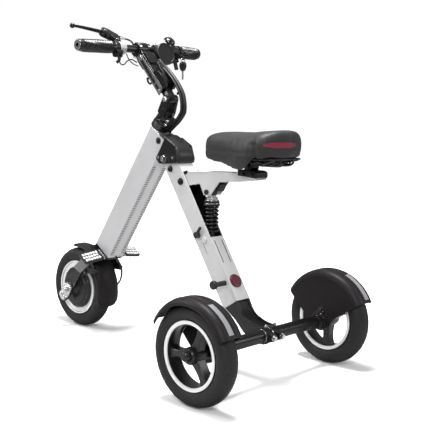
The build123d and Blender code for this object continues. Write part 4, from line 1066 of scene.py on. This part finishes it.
def saddle_trim(cover):
    """Plain dark red patch behind and the springy rail loops below."""
    patch = Shape()
    rows = []
    for i in range(13):
        y = 75 - 92 * i / 12
        half = 7.0 * min(1.0, 0.45 + 1.1 * (1 - abs(2 * i / 12 - 1)))
        rows.append([(SEAT_LOW.x - 25, y, 622 + half), (SEAT_LOW.x - 25, y, 622 - half)])
    patch = patch.grid(rows, closed_rows=False, caps=False).piece("saddle_patch", None, RED_VINYL)
    split = patch.modifiers.new("split", "SUBSURF")
    split.subdivision_type = "SIMPLE"
    split.levels = 3
    wrap = patch.modifiers.new("wrap", "SHRINKWRAP")
    wrap.target = cover
    wrap.wrap_method = "PROJECT"
    wrap.use_project_x = True
    wrap.use_project_y = False
    wrap.use_project_z = False
    wrap.use_positive_direction = True
    wrap.use_negative_direction = True
    wrap.offset = 0.5 * MM
    bake(patch)
    patch.data.shade_smooth()
    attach(patch, "saddle")
    wires = Shape()
    for sign in (1, -1):
        y = sign * 24
        wires.tube([(20, y, 571), (-8, y, 568), (-34, y, 570), (-46, y, 577), (-40, y, 585)], 3)
        wires.tube([(40, y * 1.5, 570), (16, y * 1.6, 577), (-4, y * 1.7, 574), (-22, y * 1.8, 578),
                    (-40, y * 1.9, 582), (-44, y * 2, 584)], 2.4)
        for x, long, tall in ((6, 11, 6.5), (-20, 10, 6)):
            loop = [(x + long * cos(tau * k / 12), y * 1.35, 577 + tall * sin(tau * k / 12))
                    for k in range(12)]
            wires.tube(loop, 2, closed=True, steps=3)
    wires.piece("saddle_springs", "saddle", BLACK_PAINT)


# ---- Stem -----------------------------------------------------------------------------------------------
def lower_stem_details():
    """Ribbed rings at the foot of the stem, its clamp lug with bolts and a grey strip down its front edge,
    a painted highlight.
    """
    rings = Shape()
    for z0, r in ((446, 27.5), (451, 27), (456, 26.5), (461, 26)):
        wave_ring(rings, (0, 0), z0, z0 + 3.4, r, 0.25, 30)
    rings.piece("headset_rings", "steering", BLACK_PAINT, COLUMN, bevel=0.3)
    bright = Shape()
    for z0 in (449.4, 454.4, 459.4):
        wave_ring(bright, (0, 0), z0, z0 + 1.6, 25.6, 0, 24)
    bright.piece("headset_spacers", "steering", STEEL, COLUMN)
    clamp = Shape()
    clamp.plate([(-20, 468), (-34, 470), (-36, 492), (-20, 496)], 4, -14, 14)
    for z in (475, 488):
        clamp.rod((-30, -17, z), (-30, 17, z), 4.5)
    clamp.piece("stem_clamp_lug", "steering", BLACK_CAST, COLUMN, bevel=1)
    bolts = Shape()
    for z in (475, 488):
        bolts.hexagon((-30, 16, z), (-30, 20, z), 8)
        bolts.hexagon((-30, -16, z), (-30, -20, z), 8)
    bolts.hexagon((10, 22, 536), (10, 27, 536), 11)
    bolts.piece("stem_clamp_bolts", "steering", STEEL, COLUMN, bevel=0.4)
    # Grey strip on the front edge of the black stem: painted highlight.
    edge = Shape()
    edge.box(18, 20.6, -3, 12, 466, 505)
    edge.piece("stem_front_highlight", "steering", PLATE_GREY, COLUMN, bevel=1)


def upper_stem_details():
    """Grey side plates with long holes, the fold block, the bar clamp and the bag hook."""
    plates = Shape()
    holes = Shape()
    bright = Shape()
    for sign in (1, -1):
        outline = round_corners([(-12, 30), (12, 22), (12.5, 168), (-6, 168), (-12, 60)], 4)
        plates.slab(outline, sign * 19.8, sign * 21.6)
        for z, length in ((48, 5), (72, 6), (98, 12), (132, 14)):
            holes.slab(hull([(2, z - length, 5), (2, z + length, 5)]), sign * 21.4, sign * 21.9)
        bright.rod((4, sign * 21, 34), (4, sign * 24, 34), 5, 4.4)
        bright.slab(hull([(0, 152, 4), (0, 160, 4)]), sign * 21.4, sign * 22.2)
        bright.hexagon((-16, sign * 21, 8), (-16, sign * 25, 8), 8)
    plates.piece("stem_side_plates", "handlebar", PLATE_GREY, STEM, bevel=0.5)
    holes.piece("stem_holes", "handlebar", PLASTIC, STEM)
    bright.piece("stem_bolts", "handlebar", STEEL, STEM, bevel=0.4)
    block = Shape()
    cheek = round_corners([(-12, 24), (-28, 28), (-33, 58), (-27, 84), (-12, 92)], 5)
    block.slab(cheek, -21, -11)
    block.slab(cheek, 11, 21)
    block.plate([(-12, 120), (-20, 124), (-21, 158), (-12, 166)], 3, -18, 18)
    block.piece("stem_fold_block", "handlebar", BLACK_CAST, STEM, bevel=1)
    clamp = Shape()
    clamp.plate([(8, 173), (19, 176), (22, 190), (19, 203), (6, 208), (-12, 207), (-19, 198),
                 (-19, 181), (-10, 172)], 6, -22, 22)
    clamp.piece("bar_clamp", "handlebar", BLACK_PAINT, STEM, bevel=1.5)
    face = Shape()
    for y in (-16, 16):
        for z in (179, 201):
            face.rod((16, y, z), (24, y, z), 4, 3.6)
        face.plate([(-18, 182), (-21, 186), (-21, 195), (-18, 199)], 1.5, y - 4, y + 4)
    face.piece("bar_clamp_bolts", "handlebar", STEEL, STEM, bevel=0.3)
    hook = Shape()
    bend = [(13, 0, 92), (22, 0, 92), (31, 0, 88), (37, 0, 92), (38, 0, 102), (34, 0, 108)]
    hook.tube(bend, 2.8, steps=6)
    hook.ball((34, 0, 108), 4)
    hook.box(12, 15, -7, 7, 80, 102)
    hook.piece("hook_bend", "handlebar", BLACK_PAINT, STEM, bevel=0.6, stands_for=("bag_hook",))


def latch():
    """Lock lever on the rider's side of the stem with a ribbed thumb pad."""
    lever = Shape()
    lever.slab(hull([(-22, 46, 6), (-27, 78, 4.5), (-31, 108, 4)]), -8, 8)
    for z in (84, 89, 94, 99):
        lever.rod((-32.5 + (99 - z) * 0.12, -7, z), (-32.5 + (99 - z) * 0.12, 7, z), 1.4)
    lever.rod((-22, -14, 46), (-22, 14, 46), 5)
    lever.piece("latch_lever", "stem_latch", DARK_STEEL, STEM, bevel=1, stands_for=("stem_latch",))


# ---- Handlebar ------------------------------------------------------------------------------------------
def grip(name, inner, outer):
    """Moulded rubber grip: palm swell, fine ribs and an open end with a rolled lip."""
    sign = 1 if outer > 0 else -1
    length = abs(outer - inner)
    profile = [(BAR_R, 0), (19.5, 0), (20, 1.5), (20, 4.5), (17, 6)]
    steps = 44
    for step in range(steps + 1):
        share = step / steps
        along = 8 + (length - 12) * share
        swell = 15.6 + 1.5 * sin(pi * share) + 0.9 * exp(-((share - 0.95) / 0.05) ** 2)
        ripple = 1.5 * (step % 2) if 0.08 < share < 0.9 else 0
        profile.append((swell + ripple, along))
    profile += [(15.4, length - 1), (14, length), (BAR_R, length)]
    placed = [(radius, inner + sign * along) for radius, along in profile]

    def palm(angle, radius, along):
        share = abs(along - inner) / length
        if radius < 15.5 or not 0.1 < share < 0.92:
            return 0.0
        return 1.5 * max(0.0, cos(3 * angle + 5 * share)) - 0.4

    rubber = Shape().lathe(placed, BAR, 72, palm)
    rubber.piece(name, "handlebar", GRIP_RUBBER, smooth=50, stands_for=("grips",))
    end = Shape()
    cap = along_y(BAR, outer - sign * 0.9)
    end.lathe([(BAR_R - 5, 0), (BAR_R + 3, 0), (BAR_R + 3, sign * 1.6), (BAR_R - 5, sign * 1.6)], cap, 40)
    end.piece(name + "_end_ring", "handlebar", STEEL)
    dots = Shape()
    for step in range(10):
        spot = polar(cap, BAR_R - 1, 36 * step, cap.y)
        dots.rod(spot, along_y(spot, sign * 1.9), 1.5, sides=10)
    dots.piece(name + "_end_holes", "handlebar", RUBBER)


def around_bar(angle_degrees):
    """Frame on the bar's axis in millimetres, with +X turned up to an angle."""
    turn = Matrix.Rotation(-radians(angle_degrees), 4, "Y")
    return Matrix.Translation(BAR * MM) @ turn @ Matrix.Scale(MM, 4)


LEVER_ANGLE = 44
LEVER_PIVOT = (62, 102, 0)


def brake():
    """Brake perch with its adjuster, the lever with a ball end, and the brake cable."""
    place = around_bar(LEVER_ANGLE)
    reach, along, _ = LEVER_PIVOT
    collar = Shape()
    collar.lathe([(BAR_R, 67), (17, 67), (18, 68), (18, 88), (17, 89), (BAR_R, 89)], steps=48)
    collar.piece("brake_collar", "handlebar", COLLAR_GREY, place, stands_for=("brake_perch",))
    perch = Shape()
    outline = ((15, 72), (34, 66), (47, 65), (58, 77), (72, 94), (72, 110), (57, 112), (45, 96), (32, 88),
               (15, 86))
    body = smooth_path([Vector((x, y, 0)) for x, y in outline], 4, True)
    for z0, z1 in ((-10, -5.4), (5.4, 10)):
        perch.grid([[(p.x, p.y, z0) for p in body], [(p.x, p.y, z1) for p in body]])
    core = ((13, 70), (46, 69), (51, 79), (47, 89), (13, 86))
    perch.grid([[(x, y, z) for x, y in core] for z in (-9.6, 9.6)])
    perch.rod((49, 74, 0), (46, 54, 0), 6, 5)
    perch.piece("brake_perch_body", "handlebar", BLACK_CAST, place, bevel=1)
    metal = Shape()
    metal.rod((reach, along, -12), (reach, along, 12), 4.5)
    metal.rod((46.3, 56, 0), (44.4, 44, 0), 4.6, 4.2)
    metal.rod((44.7, 46, 0), (43.2, 36, 0), 3)
    metal.rod((26, 78, 9), (26, 78, 13), 3.6)
    metal.piece("brake_adjuster", "handlebar", STEEL, place, bevel=0.4)
    lever = Shape()
    bend = ((61, 99), (66, 118), (71, 142), (76, 168), (79, 189), (80, 200))
    path = smooth_path([Vector((x, y, 0)) for x, y in bend], 6)
    rows = []
    for i, point in enumerate(path):
        share = i / (len(path) - 1)
        half = 7.2 - 3.0 * share
        rows.append([(point.x + half * 0.75 * c, point.y + half * 0.25 * c, half * 0.8 * s)
                     for c, s in superellipse(1, 1, 2.8, 16)])
    lever.grid(rows)
    lever.rod((reach, along, -4.6), (reach, along, 4.6), 8.5)
    lever.ball((80, 203, 0), 7.5)
    lever.piece("brake_lever_blade", "brake_lever", BLACK_PAINT, place, smooth=60,
                stands_for=("brake_lever",))
    cable = Shape()
    start = place @ Vector((43.2, 37, 0)) / MM
    cable.tube([start, start + Vector((-2, -18, -4)), BAR + Vector((24, 12, 18)), BAR + Vector((20, 4, -6)),
                BAR + Vector((14, 0, -30)), BAR + Vector((-6, -4, -56))], 2.4)
    cable.piece("brake_cable", "handlebar", RUBBER)


def horn_switch():
    """Small switch under the left grip with its wire loop to the stem."""
    switch = Shape()
    switch.lathe([(BAR_R, 84), (16, 84), (16, 93), (BAR_R, 93)], BAR, 40)
    switch.plate([(BAR.x - 22, BAR.z - 6), (BAR.x + 6, BAR.z - 6), (BAR.x + 4, BAR.z - 26),
                  (BAR.x - 18, BAR.z - 28)], 6, 84, 104)
    switch.piece("horn_switch", "handlebar", PLASTIC, bevel=2)
    tab = Shape()
    tab.tube([(BAR.x - 12, 92, BAR.z - 22), (BAR.x - 14, 94, BAR.z - 34), (BAR.x - 8, 98, BAR.z - 42)],
             4.5, flat=0.5)
    tab.piece("horn_tab", "handlebar", PLASTIC)
    wire = Shape()
    wire.tube([(BAR.x - 8, 90, BAR.z - 30), (BAR.x - 8, 84, BAR.z - 44), (BAR.x - 6, 70, BAR.z - 46),
               (BAR.x - 2, 52, BAR.z - 34), (BAR.x, 36, BAR.z - 30), (BAR.x - 8, 22, BAR.z - 38)], 1.7)
    wire.tube([(BAR.x - 2, 58, BAR.z - 14), (BAR.x - 4, 50, BAR.z - 30), (BAR.x - 6, 36, BAR.z - 42),
               (BAR.x - 12, 21, BAR.z - 48)], 1.5)
    wire.piece("horn_wires", "handlebar", RUBBER)


def display_pod():
    """Round display with a hood, a glass face turned to the rider and a bar clamp."""
    middle = -55
    center = Vector((BAR.x - 36, middle, BAR.z - 13))
    tilt = Matrix.Translation(center * MM) @ Matrix.Rotation(radians(-72), 4, "Y") @ Matrix.Scale(MM, 4)
    pod = Shape()
    rows = []
    for z, r in ((-13, 8), (-13, 22), (-10, 27.5), (-4, 31), (8, 33), (12, 33), (13.5, 31.5), (13.5, 28.5),
                 (11.5, 27.5), (11.5, 8)):
        rows.append([(r * cos(tau * k / 64), r * sin(tau * k / 64), z) for k in range(64)])
    pod.grid(rows)
    pod.piece("display_pod", "handlebar", PLASTIC, tilt, smooth=35, stands_for=("display",))
    glass = Shape()
    glass.rod((0, 0, 11), (0, 0, 12.2), 27.4, 27, 64)
    glass.piece("display_face", "handlebar", GLASS, tilt)
    clamp = Shape()
    clamp.lathe([(BAR_R, -8), (16, -8), (17, -7), (17, 7), (16, 8), (BAR_R, 8)], along_y(BAR, middle), 40)
    clamp.plate([(BAR.x - 16, BAR.z - 15), (BAR.x - 4, BAR.z - 17), (BAR.x + 8, BAR.z - 8),
                 (BAR.x - 8, BAR.z + 8)], 3, middle - 7, middle + 7)
    clamp.piece("display_clamp", "handlebar", PLASTIC, bevel=1)
    knob = Shape()
    knob.rod((BAR.x + 4, middle, BAR.z + 14), (BAR.x + 6, middle, BAR.z + 21), 4)
    knob.piece("display_clamp_bolt", "handlebar", STEEL, bevel=0.4)


def bell():
    """Glossy black bell dome on a post with a thumb striker."""
    place = around_bar(122)
    middle = -94
    base = Shape()
    base.lathe([(BAR_R, middle - 5), (15, middle - 5), (15, middle + 5), (BAR_R, middle + 5)], steps=40)
    base.rod((14, middle, 0), (32, middle, 0), 6, 7, 30)
    base.rod((31, middle, 0), (33.6, middle, 0), 14, 16, 30)
    base.slab(hull([(30, 0, 5), (31, 21, 3.4)]), middle - 6, middle - 2)
    base.piece("bell_base", "handlebar", PLASTIC, place, bevel=0.8)
    dome = Shape()
    rows = []
    for step in range(9):
        angle = pi / 2 * step / 9
        flat = 18 * cos(angle)
        rows.append([(33.6 + 12 * sin(angle), middle + flat * cos(tau * k / 40), flat * sin(tau * k / 40))
                     for k in range(40)])
    dome.grid(rows)
    dome.rod((44.8, middle, 0), (46.6, middle, 0), 3)
    dome.piece("bell_dome", "handlebar", BELL_BLACK, place, smooth=50, stands_for=("bell",))


def key_head():
    """Black moulded head over the top of the key."""
    eye = joint_at("key_swing") / MM
    head = Shape()
    drop = eye.z - 23
    head.slab(hull([(eye.x, drop + 1, 12.5), (eye.x, drop - 6, 9.5)]), eye.y - 4, eye.y + 4)
    head.piece("key_head", "key", PLASTIC, bevel=1.2)


def throttle_details():
    """Two raised rings and the clamp screws on the throttle body."""
    ring = Shape()
    for y in (-113, -135):
        ring.lathe([(BAR_R, -2), (18.6, -2), (18.6, 2), (BAR_R, 2)], along_y(BAR, y), 40)
    ring.piece("throttle_rings", "handlebar", PLASTIC, bevel=0.5)
    dots = Shape()
    for y in (-118, -130):
        dots.rod((BAR.x - 4, y, BAR.z + 16), (BAR.x - 4, y, BAR.z + 20), 2.6)
    dots.piece("throttle_screws", "handlebar", STEEL)


# ---- Cables ------------------------------------------------------------------------------------------
def three_cables(shape, points):
    """The thick main cable with two thinner ones laid along it."""
    shape.tube(points, 6.2, steps=10, sides=16)
    for offset, radius in (((4, 9, 2), 3.2), ((6, -8, 1), 2.6)):
        shape.tube([Vector(point) + Vector(offset) for point in points], radius, steps=10)


def loom():
    """Main cable loom: down behind the stem and into the top of the column, in two lengths."""
    upper = Shape()
    points = [(BAR.x - 34, -34, BAR.z - 20), (BAR.x - 66, -22, BAR.z - 42), (410, -14, 812),
              (372, -12, 780), (346, -12, 746), (338, -12, 716)]
    three_cables(upper, points)
    whole = upper.piece("loom_upper", None, RUBBER)
    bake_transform(whole)
    lower = Shape()
    points = [(338, -12, 716), (340, -12, 694), (356, -10, 672), (376, -9, 656), (396, -8, 640)]
    three_cables(lower, points)
    whole = lower.piece("loom_lower", None, RUBBER)
    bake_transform(whole)


# ---- Stage: floor, light and camera ------------------------------------------------------------------
MIDDLE = (0.35, 0, 0.35)
SOFT_BOXES = (("key", (-2.2, 2.9, 2.6), 0.9, 76), ("rim", (2.4, 1.8, 2.4), 0.9, 56),
              ("fill", (-2.6, -2.2, 1.8), 1.2, 30), ("top", (0.3, 0.1, 3.0), 0.8, 150))
CAMERA_PLACE = (-1.3881, 1.6521, 0.7183)
CAMERA_HEADING = 2.337      # radians round Z from +X to the line from the scooter to the camera
CAMERA_DROP = 0.1288        # radians the camera looks down
CAMERA_ROLL = 0.0204
CAMERA_LENS = 71.27
SURROUND_LIGHT = 0.29       # strength of the white surround as a light; the camera sees it at full white
FLOOR_BOUNCE = 0.45         # how pale the floor is to light that bounces off it
FLOOR_SEEN = 0.95           # how pale it is to the camera
GLOW_NEAR, GLOW_FAR = 0.7, 2.2      # metres from the scooter over which the floor fades into the surround
GLOW_LOW, GLOW_HIGH = 0.06, 0.8


def build_stage():
    """White floor that runs into a white surround, soft boxes from above and both sides."""
    world = bpy.data.worlds.new("surround")
    bpy.context.scene.world = world
    world.use_nodes = True
    tree = world.node_tree
    back = tree.nodes["Background"]
    back.inputs["Color"].default_value = (1, 1, 1, 1)
    seen = tree.nodes.new("ShaderNodeLightPath").outputs["Is Camera Ray"]
    level = tree.nodes.new("ShaderNodeMapRange")
    level.inputs["To Min"].default_value = SURROUND_LIGHT
    level.inputs["To Max"].default_value = 1.0
    tree.links.new(seen, level.inputs["Value"])
    tree.links.new(level.outputs["Result"], back.inputs["Strength"])
    bm = bmesh.new()
    bmesh.ops.create_grid(bm, x_segments=1, y_segments=1, size=40)
    mesh = bpy.data.meshes.new("floor")
    bm.to_mesh(mesh)
    bm.free()
    floor = bpy.data.objects.new("floor", mesh)
    bpy.context.collection.objects.link(floor)
    mesh.materials.append(floor_paint())
    for name, place, size, power in SOFT_BOXES:
        light = bpy.data.objects.new(name, bpy.data.lights.new(name, "AREA"))
        light.data.energy = power
        light.data.size = size
        light.location = place
        light.rotation_euler = (Vector(MIDDLE) - Vector(place)).to_track_quat("-Z", "Y").to_euler()
        bpy.context.collection.objects.link(light)


def floor_paint():
    """White floor: keeps contact shadows near the scooter and fades into the surround farther out."""
    mat = surface("floor_paint", (0.9, 0.9, 0.9), 0.9, 0.0, 200, 0.0, 0.004, 0.02, shine=0.0)
    tree = mat.node_tree
    link = tree.links.new
    shader = tree.nodes["Principled BSDF"]
    shader.inputs["Emission Color"].default_value = (1, 1, 1, 1)
    spot = tree.nodes.new("ShaderNodeNewGeometry").outputs["Position"]
    away = tree.nodes.new("ShaderNodeVectorMath")
    away.operation = "DISTANCE"
    away.inputs[1].default_value = (MIDDLE[0], 0, 0)
    link(spot, away.inputs[0])
    glow = tree.nodes.new("ShaderNodeMapRange")
    glow.inputs["From Min"].default_value = GLOW_NEAR
    glow.inputs["From Max"].default_value = GLOW_FAR
    glow.inputs["To Min"].default_value = GLOW_LOW
    glow.inputs["To Max"].default_value = GLOW_HIGH
    link(away.outputs["Value"], glow.inputs["Value"])
    seen = tree.nodes.new("ShaderNodeLightPath").outputs["Is Camera Ray"]
    bounce = tree.nodes.new("ShaderNodeMapRange")
    bounce.inputs["To Min"].default_value = FLOOR_BOUNCE
    bounce.inputs["To Max"].default_value = FLOOR_SEEN
    link(seen, bounce.inputs["Value"])
    link(bounce.outputs["Result"], shader.inputs["Base Color"])
    only_seen = tree.nodes.new("ShaderNodeMath")
    only_seen.operation = "MULTIPLY"
    link(seen, only_seen.inputs[0])
    link(glow.outputs["Result"], only_seen.inputs[1])
    link(only_seen.outputs["Value"], shader.inputs["Emission Strength"])
    return mat


def build_camera():
    """Camera behind and to the left of the scooter, a little above the saddle."""
    forward = -Vector((cos(CAMERA_DROP) * cos(CAMERA_HEADING), cos(CAMERA_DROP) * sin(CAMERA_HEADING),
                       sin(CAMERA_DROP)))
    level_right = forward.cross(Vector((0, 0, 1))).normalized()
    level_up = level_right.cross(forward)
    right = cos(CAMERA_ROLL) * level_right + sin(CAMERA_ROLL) * level_up
    up = cos(CAMERA_ROLL) * level_up - sin(CAMERA_ROLL) * level_right
    camera = bpy.data.objects.new("camera", bpy.data.cameras.new("camera"))
    turn = Matrix((right, up, -forward)).transposed().to_4x4()
    camera.matrix_world = Matrix.Translation(CAMERA_PLACE) @ turn
    camera.data.lens = CAMERA_LENS
    camera.data.sensor_width = 36
    bpy.context.collection.objects.link(camera)
    bpy.context.scene.camera = camera


# ---- Build everything --------------------------------------------------------------------------------
for side, body in (("left", "left_wheel"), ("right", "right_wheel"), ("front", "front_wheel")):
    tyre(side, body)
rear_wheel("left", (114, 234, 354))
rear_wheel("right", (30, 150, 270))
front_wheel()
fender_trim("left", 1)
fender_trim("right", -1)
mudguard()
fork_details()
column_details()
footrest_tread("left", 1)
footrest_tread("right", -1)
hinge_details()
beam_details()
yoke_arm()
axle_details()
seat_arm_details()
shock_details()
shock_coil()
saddle_trim(saddle())
saddle_base()
lower_stem_details()
upper_stem_details()
latch()
grip("left_grip", 94, BAR_END)
grip("right_grip", -142, -BAR_END)
brake()
horn_switch()
display_pod()
bell()
key_head()
throttle_details()
loom()
build_stage()
build_camera()
bpy.context.scene.view_settings.view_transform = "Standard"
